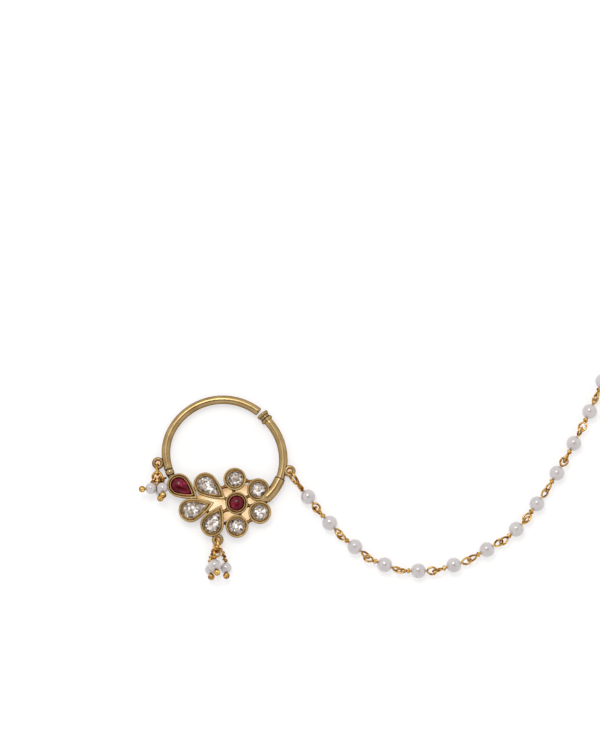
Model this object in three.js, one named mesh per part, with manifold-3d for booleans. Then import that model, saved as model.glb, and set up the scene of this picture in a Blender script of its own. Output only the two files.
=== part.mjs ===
// A bridal nose ring: a sprung hoop, a flower of set stones, two clusters of pearl drops and a hair chain of pearls.
// It lies flat on its back. Millimetres, +X to the right of the flower, +Y up the hoop, +Z off the table.
import * as THREE from 'three';
import { mergeVertices } from 'three/addons/utils/BufferGeometryUtils.js';
import Module from 'manifold-3d';

const wasm = await Module();
wasm.setup();

// Hoop: two bent tubes whose axes lie at one height. Each rises from a foot on the flower, placed in cup radii from
// its centre cup, bends tightly at first and then to the hoop's own radius, up to the gap for the nostril.
const HOOP_Z = 1.75;
const TUBE_R = 1.13;
const TUBE_SIDES = 10;
const BEND_R = 15.3;
const LEFT_FOOT = { x: -6.01, y: 3.03 };
const LEFT_FOOT_DEG = 200;
const LEFT_TIGHT_R = 13;
const LEFT_TIGHTENS_DEG = 150;
const RIGHT_FOOT = { x: 3.5, y: 1.6 };
const RIGHT_FOOT_DEG = -30;
const RIGHT_TIGHT_R = 13;
const RIGHT_TIGHTENS_DEG = -5;
const RIGHT_STRAIGHT_DEG = 39.5;
const NOSTRIL_GAP = 0.87;
const STEP_DEG = 7;

// Press knob: a capped sleeve with two flanges that slides back over the straight end of the right tube
const KNOB_LENGTH = 2.6;
const KNOB_BACK = 0.95;
const KNOB_R = 1.62;
const KNOB_NECK_R = 1.4;
const KNOB_FLANGE = 0.9;
const KNOB_ROUND = 0.15;
const KNOB_CAP = 0.6;
const KNOB_OVERLAP = 0.4;
const KNOB_CLEARANCE = 0.08;
const STEM_R = 0.5;
const STEM_CLEARANCE = 0.08;
const STEM_HELD = 1.3;
const KNOB_TRAVEL = 1.4;
const STEM_END_SPACE = 0.3;
const KNOB_SIDES = 16;

// Joints of the hoop's feet with the flower
const SLEEVE_R = 1.42;
const SLEEVE_MOUTH_DEG = -22;
const SLEEVE_END_DEG = -49;
const SLEEVE_TAIL_LENGTH = 1.7;
const SLEEVE_TAIL_R = 1;
const SOCKET_FLOOR_DEG = 1;
const SOCKET_CLEARANCE = 0.1;
const CUT_PAST = 1;
const COLLAR_R = 1.15;
const COLLAR_LENGTH = 2.6;
const COLLAR_GAP = 0.12;
const PEG_R = 0.7;
const PEG_LENGTH = 1.3;

// Settings: cups with a rounded rim, a sloping lip and a ledge for the stone
const RIM_Z = 3;
const RIM_WIDTH = 0.5;
const RIM_ROUND = 0.22;
const WALL = 0.98;
const CUP_R = 3;
const PEAR_R = 3.1;
const CUP_TAPER = 0.18;
const LIP_Z = 2.35;
const LEDGE_Z = 1.65;
const LEDGE_WIDTH = 0.35;
const BACK_THICKNESS = 0.6;
const CUP_SIDES = 16;
const PEAR_SIDES = 20;
const PEAR_BOW = 5;

// Stones
const STONE_CLEARANCE = 0.08;
const GIRDLE_Z = LEDGE_Z + 0.15;
const GIRDLE_HEIGHT = 0.2;
const TABLE_RISE = 0.75;
const TABLE_SHARE = 0.56;
const STAR_SHARE = 0.8;
const STAR_RISE_SHARE = 0.55;
const CULET_DEPTH = 0.75;
const CULET_SHARE = 0.55;
const STONE_SIDES = 12;
const DOME_RISE = 1.25;
const DOME_STEPS = 3;

// Round settings: the ruby in the middle with four clear stones round it, placed in cup radii
const CUPS = [
  { stone: 'ruby_centre', x: 0, y: 0 },
  { stone: 'clear_round_top', x: -0.17, y: 2.12 },
  { stone: 'clear_round_upper_right', x: 1.88, y: 1.18 },
  { stone: 'clear_round_lower_right', x: 2.03, y: -0.83 },
  { stone: 'clear_round_bottom', x: 0.03, y: -2.05 },
];

// Pear settings, each from the middle of its round end to its point, in cup radii
const PEARS = [
  { stone: 'ruby_pear', x: -5.1, y: 1.58, tipX: -3.43, tipY: 0.41 },
  { stone: 'clear_pear_top', x: -2.77, y: 1.67, tipX: -0.98, tipY: 0.33 },
  { stone: 'clear_pear_left', x: -4.07, y: -0.65, tipX: -1.98, tipY: 0.05 },
  { stone: 'clear_pear_bottom', x: -2.16, y: -1.93, tipX: -1.33, tipY: -0.18 },
];

// Solder bars between neighbouring settings: the stretch that shows, in cup radii. Each runs on into both walls.
const BAR_R = 0.5;
const BAR_Z = 1.5;
const BAR_SUNK = 0.6;
const BAR_SIDES = 6;
const BARS = [
  { x1: -0.25, y1: 0.83, x2: -0.28, y2: 1.27 },
  { x1: 0.77, y1: 2.03, x2: 1.33, y2: 1.9 },
  { x1: 0.73, y1: 0.47, x2: 1.17, y2: 0.73 },
  { x1: 0.9, y1: -0.17, x2: 1.37, y2: -0.23 },
  { x1: 0.27, y1: -0.83, x2: 0.3, y2: -1.2 },
  { x1: 0.8, y1: -1.77, x2: 1.4, y2: -1.37 },
  { x1: 1.93, y1: 0.3, x2: 1.97, y2: 0.03 },
  { x1: -1.37, y1: -0.8, x2: -0.73, y2: -0.5 },
  { x1: -1.4, y1: -1.73, x2: -0.83, y2: -1.77 },
  { x1: -4.37, y1: 1.17, x2: -3.57, y2: 1.33 },
  { x1: -3.97, y1: 0.87, x2: -3.8, y2: 0.07 },
  { x1: -2.7, y1: -0.53, x2: -2.37, y2: -0.97 },
  { x1: -1.53, y1: 0.67, x2: -0.73, y2: 0.3 },
  { x1: -1.53, y1: 1.3, x2: -0.87, y2: 1.57 },
];

// Eyelets: two soldered to the tubes some way above the feet, one to the lowest pear at an angle round its end
const EYELET_WIRE = 0.31;
const LEFT_EYELET = { r: 1.24, z: HOOP_Z, sunk: 0.04, aboveFoot: 2.1 };
const RIGHT_EYELET = { r: 1.2, z: 2, sunk: 0.37, aboveFoot: 4.39 };
const BOTTOM_EYELET = { r: 1.18, z: 2, sunk: 0.1, pearDeg: -69 };
const RING_STEPS = 10;
const WIRE_SIDES = 5;

// Hair chain: a drilled pearl on each wire, a wrapped loop towards the hoop and a plain loop away from it.
// x and y are the pearl's place from the right eyelet; near and far turn the two loops about the wire, 0 being flat.
const BEAD_R = 2;
const BEAD_BORE = 0.42;
const BEAD_SIDES = 10;
const BEAD_RINGS = 7;
const CHAIN_WIRE = 0.25;
const TURNS_R = 0.66;
const TURNS_LENGTH = 1.05;
const TURNS_SIDES = 6;
const BEAD_GAP = 0.08;
const LOOP_HALF_WIDTH = 0.92;
const FAR_REACH = 4.7;
const NEAR_REACH = 5.7;
const FIRST_REACH = 8;
const FIRST_HALF_WIDTH = 1.1;
const LOOP_STEPS = 9;
const CHAIN = [
  { x: 4.85, y: -6.85, near: 66, far: 15 },
  { x: 10.55, y: -13.8, near: 95, far: -40 },
  { x: 17.15, y: -20.05, near: 50, far: 60 },
  { x: 24.95, y: -24.8, near: -32, far: 60 },
  { x: 33.8, y: -26.4, near: -55, far: 10 },
  { x: 43.1, y: -24.9, near: 110, far: 35 },
  { x: 51.85, y: -20.8, near: -45, far: 40 },
  { x: 59.65, y: -15.45, near: -35, far: 60 },
  { x: 65.2, y: -8.7, near: -25, far: 45 },
  { x: 70.6, y: -0.55, near: -60, far: 0 },
  { x: 75.2, y: 7.4, near: 70, far: 65 },
  { x: 79.55, y: 15.95, near: -15, far: 50 },
  { x: 83.2, y: 24.1, near: -65, far: 90 },
];

// Hair hook at the chain's free end: an eye, a shank that comes down to the table and a bent-back leg
const HOOK_WIRE = 0.4;
const HOOK_EYE_R = 1.15;
const HOOK_SHANK = 6.5;
const HOOK_SLOPE_AT = 2.2;
const HOOK_BEND_R = 1.9;
const HOOK_LEG = 5.5;
const HOOK_TIP_OUT = 4.6;
const HOOK_EYE_Z = BEAD_R;
const HOOK_STEPS = 13;

// Hanging clusters: a link on the eyelet carries three pearls on ball-ended wires. Places are from the eyelet.
const DROP_WIRE = 0.24;
const DROP_BORE = 0.36;
const DROP_LOOP_R = 0.82;
const DROP_LOOP_SHIFT = 0.24;
const DROP_BALL_R = 0.86;
const DROP_BALL_GAP = 0.05;
const DROP_NECK_GAP = 0.25;
const DROP_SIDES = 10;
const DROP_RINGS = 5;
const BALL_SIDES = 8;
const BALL_RINGS = 5;
const LINK_WIRE = 0.27;
const LEFT_LINK = { x: -0.1, y: -1.7, z: 1.75, axisDeg: 90, turnDeg: 80, halfLength: 1.3, halfWidth: 0.9 };
const LEFT_RING = { x: -0.15, y: -3.6, z: 1.8, axisDeg: 0, turnDeg: 0, halfLength: 1.2, halfWidth: 1.2 };
const BOTTOM_LINK = { x: -0.3, y: -1.65, z: 2.05, axisDeg: -86, turnDeg: 60, halfLength: 1.72, halfWidth: 0.95 };

// deg is where a wire's loop sits on its carrier, r, x, y and z the pearl's radius and place, aim its way to the ball
const LEFT_DROPS = [
  { name: 'left_a', deg: 225, r: 1.53, x: -1.7, y: -6.9, z: 3.25, aim: [-2.25, -0.3, 0.75] },
  { name: 'left_b', deg: 350, r: 1.5, x: 1.34, y: -6.9, z: 3.85, aim: [0.25, -2.05, 1.24] },
  { name: 'left_c', deg: 300, r: 1.3, x: 0.45, y: -7.4, z: 1.3, aim: [0.3, -2, 0.9] },
];
const BOTTOM_DROPS = [
  { name: 'bottom_a', deg: 0, r: 1.62, x: -0.65, y: -6.95, z: 4, aim: [0.6, -1.95, 1.4] },
  { name: 'bottom_b', deg: -58, r: 1.42, x: -1.9, y: -7.8, z: 1.42, aim: [0.3, -2, 1.1] },
  { name: 'bottom_c', deg: 58, r: 1.5, x: 2.2, y: -7.4, z: 1.6, aim: [0.15, -2.05, 1.1] },
];

// Vertices nearer than this are one
const WELD = 1e-4;

const GOLD = new THREE.MeshStandardMaterial({ color: 0xb89a5e, metalness: 1, roughness: 0.32 });
const WIRE_GOLD = new THREE.MeshStandardMaterial({ color: 0xd9a441, metalness: 1, roughness: 0.25 });
const PEARL = new THREE.MeshStandardMaterial({ color: 0xe9e3e8, metalness: 0, roughness: 0.2 });
const RUBY = new THREE.MeshStandardMaterial({ color: 0x7a0a34, metalness: 0, roughness: 0.08 });
const CLEAR = new THREE.MeshStandardMaterial({ color: 0xe6e6ec, metalness: 0, roughness: 0.03 });

const nose_ring = new THREE.Group();

const radians = THREE.MathUtils.degToRad;
const degrees = THREE.MathUtils.radToDeg;
const vec = (x, y, z) => new THREE.Vector3(x, y, z);

// Solids

function solidOf(geometry) {
  const bare = geometry.clone();
  bare.deleteAttribute('normal');
  bare.deleteAttribute('uv');
  const merged = mergeVertices(bare, WELD);
  return new wasm.Manifold(new wasm.Mesh({
    numProp: 3,
    vertProperties: new Float32Array(merged.attributes.position.array),
    triVerts: new Uint32Array(merged.index.array),
  }));
}

function geometryOf(solid) {
  const mesh = solid.getMesh();
  const geometry = new THREE.BufferGeometry();
  geometry.setAttribute('position', new THREE.BufferAttribute(new Float32Array(mesh.vertProperties), 3));
  geometry.setIndex(new THREE.BufferAttribute(new Uint32Array(mesh.triVerts), 1));
  return geometry;
}

function fuse(geometries) {
  let whole = solidOf(geometries[0]);
  for (const geometry of geometries.slice(1)) {
    whole = whole.add(solidOf(geometry));
  }
  return whole;
}

function cut(solid, geometries) {
  let rest = solid;
  for (const geometry of geometries) {
    rest = rest.subtract(solidOf(geometry));
  }
  return rest;
}

function addPiece(name, geometry, material) {
  const mesh = new THREE.Mesh(geometry, material);
  mesh.name = name;
  nose_ring.add(mesh);
}

// Shapes

function turned(profile, sides) {
  const points = profile.map(([r, z]) => new THREE.Vector2(r, z));
  return new THREE.LatheGeometry(points, sides).rotateX(Math.PI / 2);
}

function placed(geometry, axis, at) {
  const turn = new THREE.Quaternion().setFromUnitVectors(vec(0, 0, 1), axis.clone().normalize());
  return geometry.applyQuaternion(turn).translate(at.x, at.y, at.z);
}

function rod(from, to, radius, sides) {
  const along = to.clone().sub(from);
  const length = along.length();
  const profile = [[0, 0], [radius, 0], [radius, length], [0, length]];
  return placed(turned(profile, sides), along, from);
}

function wireAlong(curve, radius, sides, steps) {
  const section = new THREE.Shape();
  for (let i = 0; i < sides; i += 1) {
    const turn = (2 * Math.PI * i) / sides;
    const [x, y] = [radius * Math.cos(turn), radius * Math.sin(turn)];
    if (i === 0) {
      section.moveTo(x, y);
    } else {
      section.lineTo(x, y);
    }
  }
  return new THREE.ExtrudeGeometry(section, { extrudePath: curve, steps, bevelEnabled: false });
}

// A ring of wire bent to an oval with the given half length (X) and half width (Y), lying in XY
function ovalRing(halfLength, halfWidth, wire, steps) {
  const ring = new THREE.TorusGeometry(1, wire, WIRE_SIDES, steps);
  const place = ring.attributes.position;
  for (let i = 0; i < place.count; i += 1) {
    const turn = Math.atan2(place.getY(i), place.getX(i));
    const out = Math.hypot(place.getX(i), place.getY(i)) - 1;
    const normal = new THREE.Vector2(Math.cos(turn) / halfLength, Math.sin(turn) / halfWidth).normalize();
    place.setX(i, halfLength * Math.cos(turn) + out * normal.x);
    place.setY(i, halfWidth * Math.sin(turn) + out * normal.y);
  }
  return ring;
}

function sphere(radius, sides, rings) {
  return new THREE.SphereGeometry(radius, sides, rings).rotateX(Math.PI / 2);
}

function drilledPearl(radius, bore, sides, rings) {
  const start = Math.asin(bore / radius);
  const profile = [];
  for (let i = 0; i <= rings; i += 1) {
    const tilt = Math.PI - start - ((Math.PI - 2 * start) * i) / rings;
    profile.push([radius * Math.sin(tilt), radius * Math.cos(tilt)]);
  }
  profile.push(profile[0]);
  return turned(profile, sides);
}

// A stretch of the hoop's axis: arcs joined end to end with a straight run after the last one
class BentPath extends THREE.Curve {
  constructor(centre, arcs, straight) {
    super();
    this.pieces = [];
    let { x, y } = centre;
    let radius = arcs[0].radius;
    for (const arc of arcs) {
      const from = radians(arc.from);
      x += (radius - arc.radius) * Math.cos(from);
      y += (radius - arc.radius) * Math.sin(from);
      radius = arc.radius;
      const sweep = radians(arc.to) - from;
      this.pieces.push({ x, y, radius, from, sweep, length: Math.abs(sweep) * radius });
    }
    this.straight = straight;
    this.length = this.pieces.reduce((sum, piece) => sum + piece.length, straight);
  }

  getPoint(t, target = new THREE.Vector3()) {
    let left = t * this.length;
    for (const piece of this.pieces) {
      if (left <= piece.length) {
        return this.onArc(piece, left / piece.length, target);
      }
      left -= piece.length;
    }
    const last = this.pieces.at(-1);
    const heading = last.from + last.sweep + (Math.sign(last.sweep) * Math.PI) / 2;
    this.onArc(last, 1, target);
    return target.add(vec(Math.cos(heading), Math.sin(heading), 0).multiplyScalar(left));
  }

  onArc(piece, share, target) {
    const turn = piece.from + piece.sweep * share;
    return target.set(piece.x + piece.radius * Math.cos(turn), piece.y + piece.radius * Math.sin(turn), HOOP_Z);
  }
}

function stepsBetween(fromDeg, toDeg) {
  return Math.round(Math.abs(toDeg - fromDeg) / STEP_DEG);
}

function onCircle({ x, y }, radius, deg) {
  return vec(x + radius * Math.cos(radians(deg)), y + radius * Math.sin(radians(deg)), HOOP_Z);
}

function headingAt(deg) {
  return vec(-Math.sin(radians(deg)), Math.cos(radians(deg)), 0);
}

function eyeletRing({ x, y, z, r }) {
  return new THREE.TorusGeometry(r, EYELET_WIRE, WIRE_SIDES + 1, RING_STEPS).translate(x, y, z);
}

// Places that follow from the sizes

function inFlower({ x, y }) {
  return vec(x * CUP_R, y * CUP_R, HOOP_Z);
}

// An eyelet that stands outside a circle, a little sunk into what it is soldered to
function outside(eyelet, centre, radius, deg) {
  const { x, y } = onCircle(centre, radius + eyelet.r - eyelet.sunk, deg);
  return { x, y, z: eyelet.z, r: eyelet.r };
}

const leftFoot = inFlower(LEFT_FOOT);
const leftFootHeading = headingAt(LEFT_FOOT_DEG);
const leftFootCentre = onCircle(leftFoot, -LEFT_TIGHT_R, LEFT_FOOT_DEG);
const leftCentre = onCircle(leftFootCentre, LEFT_TIGHT_R - BEND_R, LEFT_TIGHTENS_DEG);

const rightFootCentre = onCircle(inFlower(RIGHT_FOOT), -RIGHT_TIGHT_R, RIGHT_FOOT_DEG);
const rightCentre = onCircle(rightFootCentre, RIGHT_TIGHT_R - BEND_R, RIGHT_TIGHTENS_DEG);

const knobAxis = headingAt(RIGHT_STRAIGHT_DEG);
const straightFrom = onCircle(rightCentre, BEND_R, RIGHT_STRAIGHT_DEG);
const tubeStraight = KNOB_BACK + KNOB_OVERLAP;
const knobFace = straightFrom.clone().addScaledVector(knobAxis, KNOB_BACK + KNOB_LENGTH);
const toKnobFace = knobFace.clone().sub(leftCentre);
const leftEndDeg = degrees(Math.atan2(toKnobFace.y, toKnobFace.x) + NOSTRIL_GAP / BEND_R);

const lowestPear = inFlower(PEARS.find(({ stone }) => stone === 'clear_pear_bottom'));
const leftEyeletDeg = LEFT_FOOT_DEG - degrees(LEFT_EYELET.aboveFoot / LEFT_TIGHT_R);
const rightEyeletDeg = RIGHT_FOOT_DEG + degrees(RIGHT_EYELET.aboveFoot / RIGHT_TIGHT_R);
const leftEyelet = outside(LEFT_EYELET, leftFootCentre, LEFT_TIGHT_R + TUBE_R, leftEyeletDeg);
const rightEyelet = outside(RIGHT_EYELET, rightFootCentre, RIGHT_TIGHT_R + TUBE_R, rightEyeletDeg);
const bottomEyelet = outside(BOTTOM_EYELET, lowestPear, PEAR_R, BOTTOM_EYELET.pearDeg);

// A row whose place is given from an eyelet
function from(eyelet, row) {
  return { ...row, x: eyelet.x + row.x, y: eyelet.y + row.y };
}

const beads = CHAIN.map((row) => from(rightEyelet, row));

// Hoop

function leftTube() {
  const path = new BentPath(leftFootCentre, [
    { radius: LEFT_TIGHT_R, from: LEFT_FOOT_DEG, to: LEFT_TIGHTENS_DEG },
    { radius: BEND_R, from: LEFT_TIGHTENS_DEG, to: leftEndDeg },
  ], 0);
  const steps = stepsBetween(LEFT_FOOT_DEG, leftEndDeg);
  const peg = rod(
    leftFoot.clone().addScaledVector(leftFootHeading, -PEG_LENGTH / 2),
    leftFoot.clone().addScaledVector(leftFootHeading, PEG_LENGTH),
    PEG_R, BAR_SIDES,
  );
  return geometryOf(fuse([wireAlong(path, TUBE_R, TUBE_SIDES, steps), peg, eyeletRing(leftEyelet)]));
}

function rightTube() {
  const path = new BentPath(rightFootCentre, [
    { radius: RIGHT_TIGHT_R, from: RIGHT_FOOT_DEG, to: RIGHT_TIGHTENS_DEG },
    { radius: BEND_R, from: RIGHT_TIGHTENS_DEG, to: RIGHT_STRAIGHT_DEG },
  ], tubeStraight);
  const steps = stepsBetween(RIGHT_FOOT_DEG, RIGHT_STRAIGHT_DEG) + 1;
  const whole = fuse([wireAlong(path, TUBE_R, TUBE_SIDES, steps), eyeletRing(rightEyelet)]);
  const boreDepth = STEM_HELD + KNOB_TRAVEL + STEM_END_SPACE;
  const bore = rod(
    straightFrom.clone().addScaledVector(knobAxis, tubeStraight + CUT_PAST),
    straightFrom.clone().addScaledVector(knobAxis, tubeStraight - boreDepth),
    STEM_R + STEM_CLEARANCE, TUBE_SIDES,
  );
  return geometryOf(cut(whole, [bore]));
}

function pressKnob() {
  const inner = TUBE_R + KNOB_CLEARANCE;
  const top = KNOB_LENGTH;
  const stemFoot = KNOB_OVERLAP - STEM_HELD;
  const profile = [
    [0, top],
    [KNOB_R - KNOB_ROUND, top],
    [KNOB_R, top - KNOB_ROUND],
    [KNOB_R, top - KNOB_FLANGE + KNOB_ROUND],
    [KNOB_R - KNOB_ROUND, top - KNOB_FLANGE],
    [KNOB_NECK_R, top - KNOB_FLANGE],
    [KNOB_NECK_R, KNOB_FLANGE],
    [KNOB_R - KNOB_ROUND, KNOB_FLANGE],
    [KNOB_R, KNOB_FLANGE - KNOB_ROUND],
    [KNOB_R, KNOB_ROUND],
    [KNOB_R - KNOB_ROUND, 0],
    [inner, 0],
    [inner, top - KNOB_CAP],
    [STEM_R, top - KNOB_CAP],
    [STEM_R, stemFoot],
    [0, stemFoot],
  ];
  const back = straightFrom.clone().addScaledVector(knobAxis, KNOB_BACK);
  return placed(turned(profile.reverse(), KNOB_SIDES), knobAxis, back);
}

// Flower

// Radius of a pear outline whose round end has radius 1, in the direction at the given angle from its point.
// Its sides are arcs of radius PEAR_BOW that leave the round end smoothly and meet in the point.
function pearReach(turn, length) {
  const away = PEAR_BOW - 1;
  const leaves = Math.acos((2 * away + 1 - length ** 2) / (2 * length * away));
  const off = Math.abs(turn);
  if (off >= leaves) {
    return 1;
  }
  const across = away * Math.cos(leaves - off);
  return Math.sqrt(across ** 2 + 2 * away + 1) - across;
}

function reshape(geometry, { x, y, tipX, tipY }, radius) {
  const length = Math.hypot(tipX - x, tipY - y) / radius;
  const place = geometry.attributes.position;
  for (let i = 0; i < place.count; i += 1) {
    const reach = pearReach(Math.atan2(place.getY(i), place.getX(i)), length);
    place.setX(i, place.getX(i) * reach);
    place.setY(i, place.getY(i) * reach);
  }
  return geometry.rotateZ(Math.atan2(tipY - y, tipX - x)).translate(x, y, 0);
}

function cupProfile(radius) {
  return [
    [0, 0],
    [radius - CUP_TAPER, 0],
    [radius, RIM_Z - RIM_ROUND],
    [radius - RIM_ROUND, RIM_Z],
    [0, RIM_Z],
  ];
}

function pocketProfile(radius) {
  const bore = radius - WALL;
  const ledge = bore - LEDGE_WIDTH;
  const mouth = radius - RIM_WIDTH;
  return [
    [0, BACK_THICKNESS],
    [ledge, BACK_THICKNESS],
    [ledge, LEDGE_Z],
    [bore, LEDGE_Z],
    [bore, LIP_Z],
    [mouth, RIM_Z],
    [mouth, RIM_Z + CUT_PAST],
    [0, RIM_Z + CUT_PAST],
  ];
}

// A pear's place and point in millimetres, drawn in to a smaller round end of the given radius
function pearPlace(pear, radius) {
  const { x, y } = inFlower(pear);
  const tip = inFlower({ x: pear.tipX, y: pear.tipY });
  const share = radius / PEAR_R;
  return { x, y, tipX: x + (tip.x - x) * share, tipY: y + (tip.y - y) * share };
}

// The given profile for each setting: turned for the round ones, drawn out to the point for the pears
function inEachSetting(profileOf) {
  return [
    ...CUPS.map((row) => {
      const { x, y } = inFlower(row);
      return turned(profileOf(CUP_R), CUP_SIDES).translate(x, y, 0);
    }),
    ...PEARS.map((pear) => {
      const round = turned(profileOf(PEAR_R), PEAR_SIDES).rotateZ(Math.PI / 2);
      return reshape(round, pearPlace(pear, PEAR_R), PEAR_R);
    }),
  ];
}

function sleeve() {
  const path = new BentPath(rightFootCentre, [
    { radius: RIGHT_TIGHT_R, from: SLEEVE_END_DEG, to: SLEEVE_MOUTH_DEG },
  ], 0);
  return wireAlong(path, SLEEVE_R, TUBE_SIDES, stepsBetween(SLEEVE_END_DEG, SLEEVE_MOUTH_DEG));
}

// The sleeve's end, drawn thinner between the two cups that it is soldered to
function sleeveTail() {
  const profile = [[0, -CUT_PAST], [SLEEVE_R, 0], [SLEEVE_TAIL_R, SLEEVE_TAIL_LENGTH], [0, SLEEVE_TAIL_LENGTH]];
  const heading = headingAt(SLEEVE_END_DEG).negate();
  return placed(turned(profile, TUBE_SIDES), heading, onCircle(rightFootCentre, RIGHT_TIGHT_R, SLEEVE_END_DEG));
}

function sleeveBore() {
  const from = RIGHT_FOOT_DEG - SOCKET_FLOOR_DEG;
  const to = SLEEVE_MOUTH_DEG + STEP_DEG;
  const path = new BentPath(rightFootCentre, [{ radius: RIGHT_TIGHT_R, from, to }], 0);
  return wireAlong(path, TUBE_R + SOCKET_CLEARANCE, TUBE_SIDES, stepsBetween(from, to));
}

function collar() {
  const start = leftFoot.clone().addScaledVector(leftFootHeading, COLLAR_GAP);
  const end = start.clone().addScaledVector(leftFootHeading, COLLAR_LENGTH);
  return rod(start, end, COLLAR_R, TUBE_SIDES);
}

function collarBore() {
  const end = leftFoot.clone().addScaledVector(leftFootHeading, PEG_LENGTH + SOCKET_CLEARANCE);
  return rod(leftFoot, end, PEG_R + SOCKET_CLEARANCE, BAR_SIDES);
}

function solderBars() {
  return BARS.map(({ x1, y1, x2, y2 }) => {
    const start = inFlower({ x: x1, y: y1 }).setZ(BAR_Z);
    const end = inFlower({ x: x2, y: y2 }).setZ(BAR_Z);
    const along = end.clone().sub(start).setLength(BAR_SUNK);
    return rod(start.sub(along), end.add(along), BAR_R, BAR_SIDES);
  });
}

function flowerFrame() {
  const whole = fuse([
    ...inEachSetting(cupProfile),
    ...solderBars(),
    sleeve(),
    sleeveTail(),
    collar(),
    eyeletRing(bottomEyelet),
  ]);
  return geometryOf(cut(whole, [sleeveBore(), collarBore(), ...inEachSetting(pocketProfile)]));
}

// Stones

// A brilliant: girdle, crown with a table and two rows of facets, and a blunt culet
function cutStone(radius) {
  const girdleTop = GIRDLE_Z + GIRDLE_HEIGHT;
  const profile = [
    [0, GIRDLE_Z - CULET_DEPTH],
    [radius * CULET_SHARE, GIRDLE_Z - CULET_DEPTH / 2],
    [radius, GIRDLE_Z],
    [radius, girdleTop],
    [radius * STAR_SHARE, girdleTop + TABLE_RISE * STAR_RISE_SHARE],
    [radius * TABLE_SHARE, girdleTop + TABLE_RISE],
    [0, girdleTop + TABLE_RISE],
  ];
  return turned(profile, STONE_SIDES);
}

function cabochon(radius) {
  const profile = [[0, GIRDLE_Z], [radius, GIRDLE_Z]];
  for (let i = 0; i <= DOME_STEPS; i += 1) {
    const lift = (Math.PI / 2) * (i / DOME_STEPS);
    const out = i === DOME_STEPS ? 0 : radius * Math.cos(lift);
    profile.push([out, GIRDLE_Z + GIRDLE_HEIGHT + (DOME_RISE - GIRDLE_HEIGHT) * Math.sin(lift)]);
  }
  return turned(profile, STONE_SIDES);
}

function addStones() {
  for (const row of CUPS) {
    const radius = CUP_R - WALL - STONE_CLEARANCE;
    const ruby = row.stone.startsWith('ruby');
    const geometry = ruby ? cabochon(radius) : cutStone(radius);
    const { x, y } = inFlower(row);
    addPiece(row.stone, geometry.translate(x, y, 0), ruby ? RUBY : CLEAR);
  }
  for (const pear of PEARS) {
    const radius = PEAR_R - WALL - STONE_CLEARANCE;
    const ruby = pear.stone.startsWith('ruby');
    const round = (ruby ? cabochon(radius) : cutStone(radius)).rotateZ(Math.PI / 2);
    addPiece(pear.stone, reshape(round, pearPlace(pear, radius), radius), ruby ? RUBY : CLEAR);
  }
}

// Chain

function chainHeading(index) {
  const here = beads[index];
  const before = index === 0 ? rightEyelet : beads[index - 1];
  const after = index === beads.length - 1 ? here : beads[index + 1];
  return Math.atan2(after.y - before.y, after.x - before.x);
}

// A loop whose nearest wire lies at `from` along X and its farthest at `to`, turned about X
function chainLoop(from, to, halfWidth, turnDeg) {
  const half = Math.abs(to - from) / 2;
  return ovalRing(half, halfWidth, CHAIN_WIRE, LOOP_STEPS)
    .rotateX(radians(turnDeg))
    .translate((from + to) / 2, 0, 0);
}

function chainWire(index) {
  const { x, y, near, far } = beads[index];
  const farFoot = BEAD_R + BEAD_GAP + CHAIN_WIRE;
  const nearFoot = -(BEAD_R + BEAD_GAP + TURNS_LENGTH + CHAIN_WIRE / 2);
  const [reach, halfWidth] = index === 0 ? [FIRST_REACH, FIRST_HALF_WIDTH] : [NEAR_REACH, LOOP_HALF_WIDTH];
  const turnsFrom = -(BEAD_R + BEAD_GAP);
  const pieces = [
    rod(vec(nearFoot, 0, 0), vec(farFoot, 0, 0), CHAIN_WIRE, WIRE_SIDES),
    rod(vec(turnsFrom - TURNS_LENGTH, 0, 0), vec(turnsFrom, 0, 0), TURNS_R, TURNS_SIDES),
    chainLoop(farFoot, FAR_REACH, LOOP_HALF_WIDTH, far),
    chainLoop(nearFoot, -reach, halfWidth, near),
  ];
  return geometryOf(fuse(pieces)).rotateZ(chainHeading(index)).translate(x, y, BEAD_R);
}

function chainBead(index) {
  const { x, y } = beads[index];
  const heading = chainHeading(index);
  const axis = vec(Math.cos(heading), Math.sin(heading), 0);
  return placed(drilledPearl(BEAD_R, BEAD_BORE, BEAD_SIDES, BEAD_RINGS), axis, vec(x, y, BEAD_R));
}

function hairHook() {
  const last = beads.at(-1);
  const heading = chainHeading(beads.length - 1);
  const eyeX = FAR_REACH - CHAIN_WIRE - HOOK_WIRE - BEAD_GAP + HOOK_EYE_R;
  const shankFrom = eyeX + HOOK_EYE_R;
  const shankTo = shankFrom + HOOK_SHANK;
  const points = [
    vec(shankFrom - HOOK_WIRE / 2, 0, HOOK_EYE_Z),
    vec(shankFrom + HOOK_SLOPE_AT, 0, (HOOK_EYE_Z + HOOK_WIRE) / 2),
    vec(shankTo, 0, HOOK_WIRE),
    vec(shankTo + HOOK_BEND_R, -HOOK_BEND_R, HOOK_WIRE),
    vec(shankTo, -2 * HOOK_BEND_R, HOOK_WIRE),
    vec(shankTo - HOOK_LEG / 2, -2 * HOOK_BEND_R, HOOK_WIRE),
    vec(shankTo - HOOK_LEG, -HOOK_TIP_OUT, HOOK_WIRE),
  ];
  const eye = new THREE.TorusGeometry(HOOK_EYE_R, HOOK_WIRE, WIRE_SIDES + 1, RING_STEPS)
    .translate(eyeX, 0, HOOK_EYE_Z);
  const leg = wireAlong(new THREE.CatmullRomCurve3(points), HOOK_WIRE, WIRE_SIDES + 1, HOOK_STEPS);
  return geometryOf(fuse([eye, leg])).rotateZ(heading).translate(last.x, last.y, 0);
}

// Drops

// An oval link laid along an axis in the table's plane and turned about it
function linkFrame({ x, y, z, axisDeg, turnDeg }) {
  return new THREE.Matrix4().makeTranslation(x, y, z)
    .multiply(new THREE.Matrix4().makeRotationZ(radians(axisDeg)))
    .multiply(new THREE.Matrix4().makeRotationX(radians(turnDeg)));
}

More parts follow.
